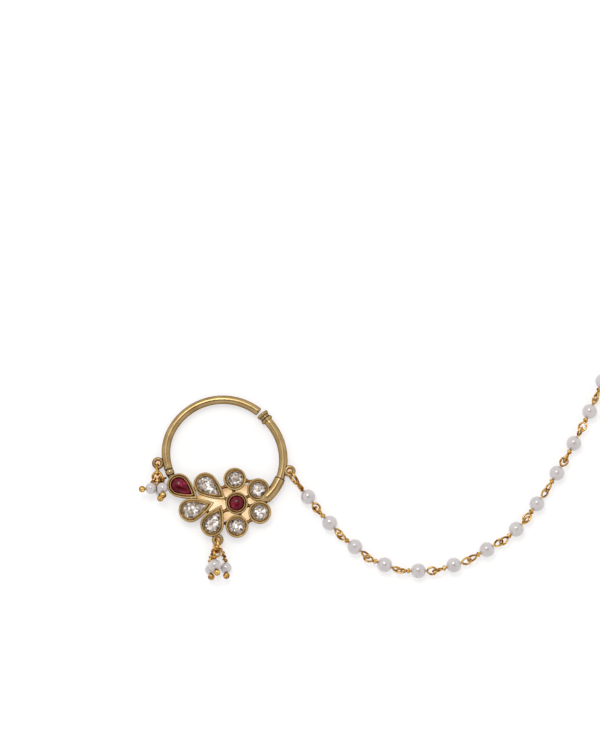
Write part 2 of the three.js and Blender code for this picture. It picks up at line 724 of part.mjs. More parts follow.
function linkPiece(link) {
  return ovalRing(link.halfLength, link.halfWidth, LINK_WIRE, RING_STEPS).applyMatrix4(linkFrame(link));
}

// Place, direction of the wire and outward direction at one point of a link
function onLink(link, deg) {
  const turn = radians(deg);
  const frame = linkFrame(link);
  const at = vec(link.halfLength * Math.cos(turn), link.halfWidth * Math.sin(turn), 0).applyMatrix4(frame);
  const along = vec(-link.halfLength * Math.sin(turn), link.halfWidth * Math.cos(turn), 0)
    .transformDirection(frame);
  const outward = vec(Math.cos(turn) / link.halfLength, Math.sin(turn) / link.halfWidth, 0)
    .transformDirection(frame);
  return { at, along, outward };
}

function dropAxis({ aim }) {
  return vec(...aim).normalize();
}

// A ball-ended wire: ball, stem through the pearl, neck and the loop that hangs on its carrier
function dropWire(carrier, drop) {
  const { at, along, outward } = onLink(carrier, drop.deg);
  const axis = dropAxis(drop);
  const pearlAt = vec(drop.x, drop.y, drop.z);
  const ballAt = pearlAt.clone().addScaledVector(axis, drop.r + DROP_BALL_R + DROP_BALL_GAP);
  const leaves = pearlAt.clone().addScaledVector(axis, -(drop.r + DROP_WIRE + DROP_NECK_GAP));
  const loopAt = at.clone().addScaledVector(outward, DROP_LOOP_SHIFT);
  const toward = leaves.clone().sub(loopAt);
  const inLoop = toward.clone().addScaledVector(along, -toward.dot(along)).normalize();
  const meets = loopAt.clone().addScaledVector(inLoop, DROP_LOOP_R);
  return geometryOf(fuse([
    sphere(DROP_BALL_R, BALL_SIDES, BALL_RINGS).translate(ballAt.x, ballAt.y, ballAt.z),
    rod(ballAt, leaves.clone().addScaledVector(axis, -DROP_WIRE), DROP_WIRE, WIRE_SIDES),
    rod(leaves, meets, DROP_WIRE, WIRE_SIDES),
    placed(ovalRing(DROP_LOOP_R, DROP_LOOP_R, DROP_WIRE, LOOP_STEPS), along, loopAt),
  ]));
}

function dropPearl(drop) {
  const pearl = drilledPearl(drop.r, DROP_BORE, DROP_SIDES, DROP_RINGS);
  return placed(pearl, dropAxis(drop), vec(drop.x, drop.y, drop.z));
}

// Assembly

addPiece('flower_frame', flowerFrame(), GOLD);
addPiece('hoop_left_tube', leftTube(), GOLD);
addPiece('hoop_right_tube', rightTube(), GOLD);
addPiece('press_knob', pressKnob(), GOLD);
addStones();

beads.forEach((bead, index) => {
  const number = String(index + 1).padStart(2, '0');
  addPiece(`chain_pearl_${number}`, chainBead(index), PEARL);
  addPiece(`chain_wire_${number}`, chainWire(index), WIRE_GOLD);
});
addPiece('hair_hook', hairHook(), WIRE_GOLD);

addPiece('left_link', linkPiece(from(leftEyelet, LEFT_LINK)), WIRE_GOLD);
addPiece('left_ring', linkPiece(from(leftEyelet, LEFT_RING)), WIRE_GOLD);
addPiece('bottom_link', linkPiece(from(bottomEyelet, BOTTOM_LINK)), WIRE_GOLD);
for (const [eyelet, link, drops] of [[leftEyelet, LEFT_RING, LEFT_DROPS], [bottomEyelet, BOTTOM_LINK, BOTTOM_DROPS]]) {
  const carrier = from(eyelet, link);
  for (const row of drops) {
    const drop = from(eyelet, row);
    addPiece(`drop_pearl_${drop.name}`, dropPearl(drop), PEARL);
    addPiece(`drop_wire_${drop.name}`, dropWire(carrier, drop), WIRE_GOLD);
  }
}

export default nose_ring;
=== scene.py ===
"""A bridal nose ring with its hair chain, lying on a white table under soft light."""

import math

import bpy
from mathutils import Matrix, Vector


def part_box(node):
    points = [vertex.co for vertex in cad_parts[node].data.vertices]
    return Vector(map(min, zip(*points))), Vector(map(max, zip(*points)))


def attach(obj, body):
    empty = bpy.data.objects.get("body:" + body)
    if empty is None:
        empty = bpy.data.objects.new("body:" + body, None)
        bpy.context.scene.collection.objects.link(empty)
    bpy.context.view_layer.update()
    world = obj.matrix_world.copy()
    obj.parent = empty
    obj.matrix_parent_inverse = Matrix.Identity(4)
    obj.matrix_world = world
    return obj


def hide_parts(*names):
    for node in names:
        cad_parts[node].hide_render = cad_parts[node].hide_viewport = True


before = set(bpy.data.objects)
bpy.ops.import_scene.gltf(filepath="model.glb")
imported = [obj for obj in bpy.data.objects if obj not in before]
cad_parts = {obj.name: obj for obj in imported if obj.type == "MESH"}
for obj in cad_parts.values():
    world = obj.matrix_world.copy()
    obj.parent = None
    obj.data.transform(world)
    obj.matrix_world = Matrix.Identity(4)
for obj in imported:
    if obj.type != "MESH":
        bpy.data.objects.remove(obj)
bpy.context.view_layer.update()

MM = 0.001
BODY = "nose_ring"
KNOB_BODY = "press_knob"

# The photograph's view: a frame of 200 by 160 mm seen from steeply above
FRAME_HEIGHT = 200 * MM
CAMERA_AWAY = 700 * MM
CAMERA_RISE_DEG = 80
CAMERA_AIM = Vector((16.67, 34.67, 0)) * MM
SENSOR_MM = 36

# Hoop: each tube rises from a foot on the flower, placed in cup radii from the centre cup
HOOP_Z = 1.75 * MM
TUBE_R = 1.13 * MM
TUBE_ROUND = 0.1 * MM
BEND_R = 15.3 * MM
TIGHT_R = 13 * MM
LEFT_FOOT = (-6.01, 3.03)
LEFT_FOOT_DEG = 200
LEFT_TIGHTENS_DEG = 150
RIGHT_FOOT = (3.5, 1.6)
RIGHT_FOOT_DEG = -30
RIGHT_TIGHTENS_DEG = -5
RIGHT_STRAIGHT_DEG = 39.5
NOSTRIL_GAP = 0.87 * MM
DEG_PER_STEP = 2
TUBE_SIDES = 32

# Press knob
KNOB_LENGTH = 2.6 * MM
KNOB_BACK = 0.95 * MM
KNOB_OVERLAP = 0.4 * MM
KNOB_R = 1.62 * MM
KNOB_NECK_R = 1.28 * MM
KNOB_FLANGE = 0.85 * MM
KNOB_ROUND = 0.16 * MM
KNOB_FILLET = 0.3 * KNOB_ROUND
KNOB_CAP = 0.6 * MM
KNOB_BORE_R = 1.21 * MM
# Corners of its flanges in roundings, in from the outside and up from a face: front, groove side, back
FRONT_CORNERS = [(2.5, 0), (1, -0.3), (0.3, -1), (0, -2)]
GROOVE_CORNERS = [(0.3, 1), (1.2, 0)]
BACK_CORNERS = [(0.3, 1), (1.5, 0)]

# Sleeve on the right foot and collar on the left foot
SLEEVE_R = 1.42 * MM
SLEEVE_MOUTH_DEG = -22
SLEEVE_END_DEG = -49
SLEEVE_BORE_R = 1.23 * MM
SLEEVE_DEPTH = 0.9 * MM
SLEEVE_TAIL_LENGTH = 1.7 * MM
SLEEVE_TAIL_R = 1 * MM
COLLAR_R = 1.15 * MM
COLLAR_BEAD = 1.5 * MM
COLLAR_NECK_R = 0.86 * MM
COLLAR_LENGTH = 2.6 * MM
COLLAR_GAP = 0.16 * MM
# The bead's section in shares of its radius and length
COLLAR_SECTION = [(0.8, 0), (0.93, 0.12), (1, 0.36), (1, 0.64), (0.93, 0.88), (0.8, 1)]

# Painted shade: dark rings in the gaps where one part goes into another
SHADE_RING_WIDTH = 0.22 * MM
SHADE_RING_STEPS = 32
# Inner and outer radius of each ring
SLEEVE_SHADE_RING = (1.12 * MM, 1.4 * MM)
COLLAR_SHADE_RING = (0.8 * MM, 1.08 * MM)
KNOB_SHADE_RING = (1.235 * MM, 1.4 * MM)

# Settings and stones
CUP_R = 3 * MM
PEAR_R = 3.1 * MM
PEAR_BOW = 5
RIM_Z = 3 * MM
CUP_TAPER = 0.18 * MM
LEDGE_Z = 1.65 * MM
LEDGE_WIDTH = 0.35 * MM
BACK_THICKNESS = 0.6 * MM
STONE_CLEARANCE = 0.02 * MM
GIRDLE_Z = 1.8 * MM
GIRDLE_HEIGHT = 0.2 * MM
TABLE_RISE = 0.75 * MM
DOME_RISE = 1.25 * MM
CULET_DEPTH = 0.7 * MM
CUP_STEPS = 96
CUP_FOOT_IN = 0.12 * MM
CUP_FOOT_UP = 0.1 * MM
WALL = 0.98 * MM
LIP_WIDTH = 0.22 * MM
LIP_DROP = 0.4 * MM
# The rim's section in mm: in from the outside and down from the top
RIM_SECTION = [(0.04, 0.6), (0, 0.34), (0.03, 0.16), (0.11, 0.05), (0.22, 0), (0.33, 0.04), (0.42, 0.15)]
# The lip's section: out from the stone in lip widths, and down from the lip's top in mm
LIP_SECTION = [(1.15, 0.12), (0.95, 0.1), (0.7, 0), (0.35, 0), (0.08, 0.07), (0, 0.16)]
DOME_RINGS = 10
# A cut stone's rings of corners: share of its radius, share of the rise or of the depth, corners and turn
GEM_CROWN = [(0.54, 1, 8, 0), (0.78, 0.6, 8, math.pi / 8), (1, 0, 16, 0)]
GEM_BACK = [(1, 0, 16, 0), (0.5, 0.6, 8, 0), (0.1, 1, 8, 0)]
# Places in cup radii; a pear's second pair is its point
CUPS = {
    "ruby_centre": (0, 0),
    "clear_round_top": (-0.17, 2.12),
    "clear_round_upper_right": (1.88, 1.18),
    "clear_round_lower_right": (2.03, -0.83),
    "clear_round_bottom": (0.03, -2.05),
}
PEARS = {
    "ruby_pear": (-5.1, 1.58, -3.43, 0.41),
    "clear_pear_top": (-2.77, 1.67, -0.98, 0.33),
    "clear_pear_left": (-4.07, -0.65, -1.98, 0.05),
    "clear_pear_bottom": (-2.16, -1.93, -1.33, -0.18),
}

# Solder bars between neighbouring settings
BAR_Z = 1.5 * MM
BAR_R = 0.42 * MM
BAR_FILLET_R = 0.72 * MM
BAR_SHOULDER_R = 0.85 * BAR_FILLET_R
BAR_STEPS = 24
# A bar's section: radius, and share of its length
BAR_SECTION = [
    (0, 0), (BAR_FILLET_R, 0), (BAR_SHOULDER_R, 0.18), (BAR_R, 0.36),
    (BAR_R, 0.64), (BAR_SHOULDER_R, 0.82), (BAR_FILLET_R, 1), (0, 1),
]
# Where each bar begins and ends, in cup radii
BARS = [
    (-0.25, 0.83, -0.28, 1.27),
    (0.77, 2.03, 1.33, 1.9),
    (0.73, 0.47, 1.17, 0.73),
    (0.9, -0.17, 1.37, -0.23),
    (0.27, -0.83, 0.3, -1.2),
    (0.8, -1.77, 1.4, -1.37),
    (1.93, 0.3, 1.97, 0.03),
    (-1.37, -0.8, -0.73, -0.5),
    (-1.4, -1.73, -0.83, -1.77),
    (-4.37, 1.17, -3.57, 1.33),
    (-3.97, 0.87, -3.8, 0.07),
    (-2.7, -0.53, -2.37, -0.97),
    (-1.53, 0.67, -0.73, 0.3),
    (-1.53, 1.3, -0.87, 1.57),
]

# Eyelets: radius of the wire ring, height, how far it is sunk into what it is soldered to, and its place
# above a foot along the tube or, in degrees, round the lowest pear
EYELET_WIRE = 0.5 * MM
EYELET_OUTSIDE = 0.37 * MM
LEFT_EYELET = (1.24 * MM, HOOP_Z, 0.04 * MM, 2.1 * MM)
RIGHT_EYELET = (1.2 * MM, 2 * MM, 0.37 * MM, 4.39 * MM)
BOTTOM_EYELET = (1.18 * MM, 2 * MM, 0.1 * MM, -69)

# Pearls
PEARL_RINGS = 26
PEARL_STEPS = 48
BORE_NARROWS = 0.8
BORE_SINKS = 0.94

# Hair chain
BEAD_R = 2 * MM
BEAD_BORE = 0.42 * MM
CHAIN_WIRE = 0.27 * MM
FIRST_LOOP_WIRE = 0.37 * MM
WRAP_WIRE = 0.22 * MM
WRAP_R = 0.46 * MM
WRAP_TURNS = 2.25
FIRST_WRAP_TURNS = 3.5
BEAD_GAP = 0.08 * MM
WRAP_LENGTH = 1.05 * MM
FIRST_WRAP_LENGTH = 2.1 * MM
FAR_REACH = 4.7 * MM
NEAR_REACH = 5.7 * MM
FIRST_REACH = 8 * MM
LOOP_HALF_WIDTH = 0.92 * MM
FIRST_HALF_WIDTH = 1.1 * MM
LOOP_POINTS = 40
LOOP_NARROWS = 0.16
# How far each wire's two loops turn about it: the wrapped loop near the hoop, then the plain one
LOOP_TURNS = [
    (66, 15), (70, -40), (50, 60), (-32, 60), (-55, 10), (110, 35), (-45, 40),
    (-35, 60), (-25, 45), (-60, 0), (70, 65), (-15, 50), (-65, 90),
]

# Hair hook
HOOK_WIRE = 0.4 * MM
HOOK_EYE_R = 1.15 * MM
HOOK_SHANK = 6.5 * MM
HOOK_SLOPE_AT = 2.2 * MM
HOOK_BEND_R = 1.9 * MM
HOOK_LEG = 5.5 * MM
HOOK_TIP_OUT = 4.6 * MM

# Hanging clusters
DROP_WIRE = 0.27 * MM
DROP_BORE = 0.36 * MM
DROP_LOOP_R = 0.82 * MM
DROP_LOOP_SHIFT = 0.24 * MM
DROP_BALL_R = 0.86 * MM
DROP_BALL_GAP = 0.05 * MM
DROP_NECK_GAP = 0.25 * MM
NECK_WRAP_R = 0.44 * MM
NECK_WRAP_WIRE = 0.8 * DROP_WIRE
NECK_WRAP_SHARE = 0.8
NECK_WRAP_TURNS = 2.5
SHORT_NECK = 2.5 * DROP_WIRE
LINK_WIRE = 0.33 * MM
# Direction in the table's plane, turn about it, half length and half width of each link
LINKS = {
    "left_link": (90, 80, 1.3, 0.9),
    "left_ring": (0, 0, 1.2, 1.2),
    "bottom_link": (-86, 60, 1.72, 0.95),
}
# Where on its carrier each drop hangs, its pearl's radius and the way from the pearl to the ball
LEFT_DROPS = {
    "left_a": (225, 1.53, (-2.25, -0.3, 0.75)),
    "left_b": (350, 1.5, (0.25, -2.05, 1.24)),
    "left_c": (300, 1.3, (0.3, -2, 0.9)),
}
BOTTOM_DROPS = {
    "bottom_a": (0, 1.62, (0.6, -1.95, 1.4)),
    "bottom_b": (-58, 1.42, (0.3, -2, 1.1)),
    "bottom_c": (58, 1.5, (0.15, -2.05, 1.1)),
}

# Tones of each finish against its pattern; the solder's go against height, as a share of the settings' height
TUBE_TONES = [(0.3, (0.31, 0.205, 0.086)), (0.5, (0.38, 0.262, 0.118)), (0.7, (0.46, 0.325, 0.156))]
SETTING_TONES = [(0.3, (0.4, 0.268, 0.112)), (0.5, (0.48, 0.335, 0.15)), (0.7, (0.57, 0.41, 0.195))]
# Painted shade: the brown that darkens the satin gold low down and in recesses
PAINTED_SHADE_TONES = [(0.3, (0.1, 0.042, 0.01)), (0.7, (0.2, 0.092, 0.026))]
# The solder's tones by height: painted shade nearly black low down, orange brown on top
SOLDER_PAINTED_SHADE_TONES = [(0.59, (0.03, 0.01, 0.003)), (0.65, (0.36, 0.17, 0.055))]
# Painted shade in the gaps between parts
SHADE_RING_TONES = [(0.3, (0.02, 0.01, 0.004)), (0.7, (0.07, 0.035, 0.012))]
WIRE_TONES = [(0.36, (0.2, 0.075, 0.013)), (0.5, (0.52, 0.3, 0.08)), (0.66, (0.78, 0.54, 0.2))]
PEARL_TONES = [(0.3, (0.42, 0.38, 0.385)), (0.5, (0.46, 0.415, 0.415)), (0.72, (0.5, 0.465, 0.46))]
RUBY_TONES = [(0.3, (0.06, 0.0, 0.004)), (0.5, (0.1, 0.001, 0.009)), (0.7, (0.32, 0.012, 0.05))]
# Painted reflection: the light and dark of the clear stones' facets, also their glow
CRYSTAL_PAINTED_SPARKLE_TONES = [
    (0.0, (0.08, 0.055, 0.038)), (0.2, (0.19, 0.145, 0.11)), (0.45, (0.32, 0.265, 0.225)),
    (0.7, (0.48, 0.425, 0.385)), (1.0, (0.93, 0.94, 0.95)),
]
PAPER_TONES = [(0.3, (0.49, 0.49, 0.492)), (0.7, (0.51, 0.51, 0.508))]

# Share of painted shade against height, as a share of the settings' height: darker low down and, on the
# settings, in the groove round the stone's lip
TUBE_PAINTED_SHADE = [(0.3, 0.5), (0.5, 0.8), (0.68, 0.6), (0.82, 0)]
SETTING_PAINTED_SHADE = [
    (0.3, 0.5), (0.5, 0.9), (0.78, 0.8), (0.835, 0.75), (0.862, 0), (0.93, 0.35), (0.985, 0),
]

# Lowest and highest roughness, size of each pattern, and depth and strength of each relief
TUBE_ROUGHNESS = (0.2, 0.28)
SETTING_ROUGHNESS = (0.16, 0.23)
SOLDER_ROUGHNESS = (0.25, 0.4)
WIRE_ROUGHNESS = (0.14, 0.24)
SATIN_PATCH = 3.2 * MM
SATIN_RUB = 1.1 * MM
SATIN_DENT = 1.6 * MM
SOLDER_GRAIN = 0.6 * MM
SHADE_RING_MOTTLE = 0.5 * MM
WIRE_PATCH = 1.2 * MM
WIRE_RUB = 0.6 * MM
PEARL_CLOUD = 1.6 * MM
PEARL_RIPPLE = 1.2 * MM
RUBY_CLOUD = 1.5 * MM
CRYSTAL_SPARKLE_CELL = 0.5 * MM
PAPER_CLOUD = 40 * MM
SATIN_RELIEF = (0.03 * MM, 0.07)
SOLDER_RELIEF = (0.03 * MM, 0.3)
WIRE_RELIEF = (0.02 * MM, 0.2)
PEARL_RELIEF = (0.02 * MM, 0.1)
# Where the values of a noise begin and end in the main
NOISE_LOW = 0.3
NOISE_HIGH = 0.7

# What is the same all over each finish
SATIN_SURFACE = {"Metallic": 1, "Specular Tint": (0.36, 0.2, 0.07, 1)}
SOLDER_SURFACE = {"Metallic": 1}
SHADE_RING_SURFACE = {"Metallic": 0.4, "Roughness": 0.5}
WIRE_SURFACE = {"Metallic": 1, "Specular Tint": (0.4, 0.16, 0.03, 1)}
PEARL_SURFACE = {"Roughness": 0.34, "Coat Weight": 1, "Coat IOR": 2.2, "Coat Roughness": 0.1}
RUBY_SURFACE = {"Roughness": 0.06, "Specular IOR Level": 0.22}
# The crystal's emission makes the stones glow with their painted reflections
CRYSTAL_SURFACE = {
    "Metallic": 0.25, "Roughness": 0.14, "Coat Weight": 0.7, "Coat Roughness": 0.03,
    "Emission Strength": 0.25,
}
PAPER_SURFACE = {"Roughness": 0.8, "Emission Strength": 1}

# Painted light: a warm glow on the paper where gold would throw light down, in mm: middle, half length, half
# width and turn of each oval
PAINTED_GLOW_OVALS = [
    (0.4, 0, 5.9, 5.9, 0),
    (-6.4, 0.75, 4.6, 1.7, -17),
    (-6.5, -1.2, 2.5, 1.4, 45),
]
PAINTED_GLOW_SPOT_R = 1.25 * MM
PAINTED_GLOW_SPOT_EDGE = 0.86
# The paper's painted warm glow from the middle of the glowing places out
PAINTED_GLOW_TONES = [
    (0.0, (1.0, 0.86, 0.58)), (0.6, (0.86, 0.62, 0.33)), (0.84, (0.68, 0.4, 0.15)),
    (0.92, (0.5, 0.28, 0.1)), (1.0, (0.5, 0.5, 0.5)),
]

# Light of the room from straight below to straight above: white walls and a dark ceiling overhead
SKY_TONES = [
    (0.0, (0.9, 0.9, 0.9)), (0.5, (1, 1, 1)), (0.84, (0.86, 0.85, 0.84)),
    (0.92, (0.5, 0.48, 0.46)), (0.96, (0.13, 0.11, 0.09)), (1.0, (0.07, 0.06, 0.05)),
]
SKY_STRENGTH = 1.12
# Round softboxes: tilt from straight above, compass turn (0 is +Y), distance and size in m, watts
SOFTBOXES = {
    "key": (20, -20, 0.6, 0.44, 0.74),
    "spark": (20, -20, 0.59, 0.11, 0.42),
}

# In m: the table's side and how near and far the camera sees; then what counts as one point
FLOOR_SIZE = 4
CLIP_START = 0.01
CLIP_END = 20
WELD = 1e-6
SAME_PLACE = 10 * WELD

# A Mix node's sockets for two colours and for their mixture
MIX_ONE = 6
MIX_OTHER = 7
MIX_RESULT = 2


# Modelling moves


def select_only(*pieces):
    bpy.ops.object.select_all(action="DESELECT")
    for piece in pieces:
        piece.select_set(True)
    bpy.context.view_layer.objects.active = pieces[0]


def start_editing(piece):
    select_only(piece)
    bpy.ops.object.mode_set(mode="EDIT")
    bpy.ops.mesh.select_all(action="SELECT")


def stop_editing():
    bpy.ops.object.mode_set(mode="OBJECT")


def seam_closed():
    bpy.ops.mesh.select_all(action="SELECT")
    bpy.ops.mesh.remove_doubles(threshold=WELD)
    bpy.ops.mesh.normals_make_consistent(inside=False)


def copy_of(piece):
    select_only(piece)
    bpy.ops.object.duplicate()
    return bpy.context.object


def joined(pieces):
    select_only(*pieces)
    bpy.ops.object.join()
    return bpy.context.object


def settled(piece):
    """Puts a piece's place, turn and scale into its mesh."""
    select_only(piece)
    bpy.ops.object.transform_apply(location=True, rotation=True, scale=True)
    return piece


def moved(piece, matrix):
    piece.matrix_world = matrix @ piece.matrix_world
    return settled(piece)


def line_through(points):
    """A bare line of edges, extruded from point to point."""
    bpy.ops.object.select_all(action="DESELECT")
    bpy.ops.mesh.primitive_plane_add(size=MM)
    line = bpy.context.object
    start_editing(line)
    bpy.ops.mesh.merge(type="CENTER")
    bpy.ops.transform.translate(value=points[0])
    for here, there in zip(points, points[1:]):
        step = Vector(there) - Vector(here)
        bpy.ops.mesh.extrude_region_move(TRANSFORM_OT_translate={"value": step})
    stop_editing()
    return line


def turned(profile, steps=CUP_STEPS):
    """A profile of (radius, height) pairs spun about Z."""
    piece = line_through([(r, 0, z) for r, z in profile])
    start_editing(piece)
    bpy.ops.mesh.spin(steps=steps, angle=2 * math.pi, center=(0, 0, 0), axis=(0, 0, 1))
    seam_closed()
    stop_editing()
    return piece


def bent_wire(points, radius, closed=False, rounds=4):
    """Round wire bent along the points."""
    wire = line_through(points)
    select_only(wire)
    bpy.ops.object.convert(target="CURVE")
    wire = bpy.context.object
    wire.data.splines[0].use_cyclic_u = closed
    wire.data.bevel_depth = radius
    wire.data.bevel_resolution = rounds
    wire.data.use_fill_caps = not closed
    bpy.ops.object.convert(target="MESH")
    wire = bpy.context.object
    start_editing(wire)
    seam_closed()
    stop_editing()
    return wire


def helix(start, end, radius, turns, steps_per_turn=20):
    """Points of a wire wound round the line from start to end."""
    axis = (end - start).normalized()
    side = axis.orthogonal().normalized()
    up = axis.cross(side)
    count = round(turns * steps_per_turn)
    points = []
    for i in range(count + 1):
        turn = 2 * math.pi * i / steps_per_turn
        middle = start.lerp(end, i / count)
        points.append(middle + radius * (math.cos(turn) * side + math.sin(turn) * up))
    return points


def smooth_path(points, per_span=10):
    """A curve through the points, with the ends' own directions."""
    before = points[0] * 2 - points[1]
    after = points[-1] * 2 - points[-2]
    whole = [before, *points, after]
    path = []
    for a, b, c, d in zip(whole, whole[1:], whole[2:], whole[3:]):
        for i in range(per_span):
            t = i / per_span
            path.append(0.5 * (2 * b + (c - a) * t + (2 * a - 5 * b + 4 * c - d) * t**2
                               + (3 * b - a - 3 * c + d) * t**3))
    path.append(points[-1])
    return path


def facing(axis, at):
    """The matrix that stands Z along the axis at a place."""
    return Matrix.Translation(at) @ Vector((0, 0, 1)).rotation_difference(axis).to_matrix().to_4x4()


def edges_softened(piece, width, angle_deg=40, segments=3):
    select_only(piece)
    bpy.ops.object.modifier_add(type="BEVEL")
    softening = piece.modifiers[-1]
    softening.width = width
    softening.segments = segments
    softening.limit_method = "ANGLE"
    softening.angle_limit = math.radians(angle_deg)
    bpy.ops.object.modifier_apply(modifier=softening.name)
    return piece


def on_circle(centre, radius, deg):
    turn = math.radians(deg)
    return centre + radius * Vector((math.cos(turn), math.sin(turn), 0))


def heading_at(deg):
    turn = math.radians(deg)
    return Vector((-math.sin(turn), math.cos(turn), 0))


def finished(piece, name, finish, stands_for, body=BODY, smooth_deg=35):
    settled(piece)
    bpy.ops.object.shade_smooth_by_angle(angle=math.radians(smooth_deg))
    piece.name = name
    piece.data.name = name
    piece.data.materials.clear()
    piece.data.materials.append(finish)
    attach(piece, body)
    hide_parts(stands_for)
    return piece


# Finishes


def new_finish(name, same_all_over):
    finish = bpy.data.materials.new(name)
    finish.use_nodes = True
    tree = finish.node_tree
    surface = tree.nodes["Principled BSDF"]
    for socket, value in same_all_over.items():
        surface.inputs[socket].default_value = value
    place = tree.nodes.new("ShaderNodeTexCoord")
    return finish, tree, surface, place.outputs["Object"]


def noise(tree, place, size, detail=3, roughness=0.5):
    texture = tree.nodes.new("ShaderNodeTexNoise")
    texture.inputs["Scale"].default_value = 1 / size
    texture.inputs["Detail"].default_value = detail
    texture.inputs["Roughness"].default_value = roughness
    tree.links.new(place, texture.inputs["Vector"])
    return texture.outputs["Fac"]


def ramp(tree, value, stops):
    blend = tree.nodes.new("ShaderNodeValToRGB")
    blend.color_ramp.elements[0].position = stops[0][0]
    blend.color_ramp.elements[1].position = stops[-1][0]
    for position, _ in stops[1:-1]:
        blend.color_ramp.elements.new(position)
    for element, (_, colour) in zip(blend.color_ramp.elements, stops):
        element.color = (*colour, 1)
    tree.links.new(value, blend.inputs["Fac"])
    return blend.outputs["Color"]


def spread(tree, value, low, high):
    """Maps the middle of a noise to the range from low to high."""
    scale = tree.nodes.new("ShaderNodeMapRange")
    scale.inputs["From Min"].default_value = NOISE_LOW
    scale.inputs["From Max"].default_value = NOISE_HIGH
    scale.inputs["To Min"].default_value = low
    scale.inputs["To Max"].default_value = high
    tree.links.new(value, scale.inputs["Value"])
    return scale.outputs["Result"]


def relief(tree, surface, height, depth, strength):
    bump = tree.nodes.new("ShaderNodeBump")
    bump.inputs["Distance"].default_value = depth
    bump.inputs["Strength"].default_value = strength
    tree.links.new(height, bump.inputs["Height"])
    tree.links.new(bump.outputs["Normal"], surface.inputs["Normal"])


def mixed(tree, share, one, other):
    """One colour where the share is 0, the other where it is 1."""
    mix = tree.nodes.new("ShaderNodeMix")
    mix.data_type = "RGBA"
    tree.links.new(share, mix.inputs["Factor"])
    tree.links.new(one, mix.inputs[MIX_ONE])
    tree.links.new(other, mix.inputs[MIX_OTHER])
    return mix.outputs[MIX_RESULT]


def height_of(tree, place, top):
    """The height over the table as a share of the given one."""
    split = tree.nodes.new("ShaderNodeSeparateXYZ")
    tree.links.new(place, split.inputs["Vector"])
    share = tree.nodes.new("ShaderNodeMapRange")
    share.inputs["From Max"].default_value = top
    tree.links.new(split.outputs["Z"], share.inputs["Value"])
    return share.outputs["Result"]


def satin_gold(name, tones, shade_stops, roughness):
    """Satin plate, darkened to brown by painted shade at the given heights over the table: low down and in
    recesses.
    """
    finish, tree, surface, place = new_finish(name, SATIN_SURFACE)
    patches = noise(tree, place, SATIN_PATCH)
    polished = ramp(tree, patches, tones)
    shade_tone = ramp(tree, patches, PAINTED_SHADE_TONES)
    # Painted shade, mixed in by height over the table
    shade_share = ramp(tree, height_of(tree, place, RIM_Z), [(at, (share,) * 3) for at, share in shade_stops])
    tree.links.new(mixed(tree, shade_share, polished, shade_tone), surface.inputs["Base Color"])
    rubbed = noise(tree, place, SATIN_RUB)
    tree.links.new(spread(tree, rubbed, *roughness), surface.inputs["Roughness"])
    relief(tree, surface, noise(tree, place, SATIN_DENT, detail=2), *SATIN_RELIEF)
    return finish


def solder_gold():
    """Rough solder between the settings: orange brown on top, painted shade nearly black low down."""
    finish, tree, surface, place = new_finish("solder_gold", SOLDER_SURFACE)
    tone = ramp(tree, height_of(tree, place, RIM_Z), SOLDER_PAINTED_SHADE_TONES)
    tree.links.new(tone, surface.inputs["Base Color"])
    grain = noise(tree, place, SOLDER_GRAIN)
    tree.links.new(spread(tree, grain, *SOLDER_ROUGHNESS), surface.inputs["Roughness"])
    relief(tree, surface, grain, *SOLDER_RELIEF)
    return finish


def painted_gap_shade():
    """Painted shade for the narrow gaps between parts: dark and mottled."""
    finish, tree, surface, place = new_finish("painted_gap_shade", SHADE_RING_SURFACE)
    tone = ramp(tree, noise(tree, place, SHADE_RING_MOTTLE, detail=2), SHADE_RING_TONES)
    tree.links.new(tone, surface.inputs["Base Color"])
    return finish


def bright_gold():
    """The wires' plate, redder and darker in patches."""
    finish, tree, surface, place = new_finish("bright_gold", WIRE_SURFACE)
    tone = ramp(tree, noise(tree, place, WIRE_PATCH), WIRE_TONES)
    tree.links.new(tone, surface.inputs["Base Color"])
    rubbed = noise(tree, place, WIRE_RUB)
    tree.links.new(spread(tree, rubbed, *WIRE_ROUGHNESS), surface.inputs["Roughness"])
    relief(tree, surface, rubbed, *WIRE_RELIEF)
    return finish


def nacre():
    """Clouded pearl under a glossy coat."""
    finish, tree, surface, place = new_finish("nacre", PEARL_SURFACE)
    tone = ramp(tree, noise(tree, place, PEARL_CLOUD), PEARL_TONES)
    tree.links.new(tone, surface.inputs["Base Color"])
    relief(tree, surface, noise(tree, place, PEARL_RIPPLE, detail=2), *PEARL_RELIEF)
    return finish


def ruby_red():
    """Polished red stone with clouds of lighter red."""
    finish, tree, surface, place = new_finish("ruby_red", RUBY_SURFACE)
    tone = ramp(tree, noise(tree, place, RUBY_CLOUD, roughness=0.6), RUBY_TONES)
    tree.links.new(tone, surface.inputs["Base Color"])
    return finish


def crystal_painted_sparkle():
    """Clear cut stone over foil, with painted reflections: the light and dark that its facets throw back is
    painted into its colour, and it glows with the same.
    """
    finish, tree, surface, place = new_finish("crystal_painted_sparkle", CRYSTAL_SURFACE)
    painted_sparkle = tree.nodes.new("ShaderNodeTexVoronoi")
    painted_sparkle.inputs["Scale"].default_value = 1 / CRYSTAL_SPARKLE_CELL
    tree.links.new(place, painted_sparkle.inputs["Vector"])
    split = tree.nodes.new("ShaderNodeSeparateColor")
    tree.links.new(painted_sparkle.outputs["Color"], split.inputs["Color"])
    tone = ramp(tree, split.outputs["Red"], CRYSTAL_PAINTED_SPARKLE_TONES)
    tree.links.new(tone, surface.inputs["Base Color"])
    tree.links.new(tone, surface.inputs["Emission Color"])
    finish.cycles.emission_sampling = "NONE"
    return finish


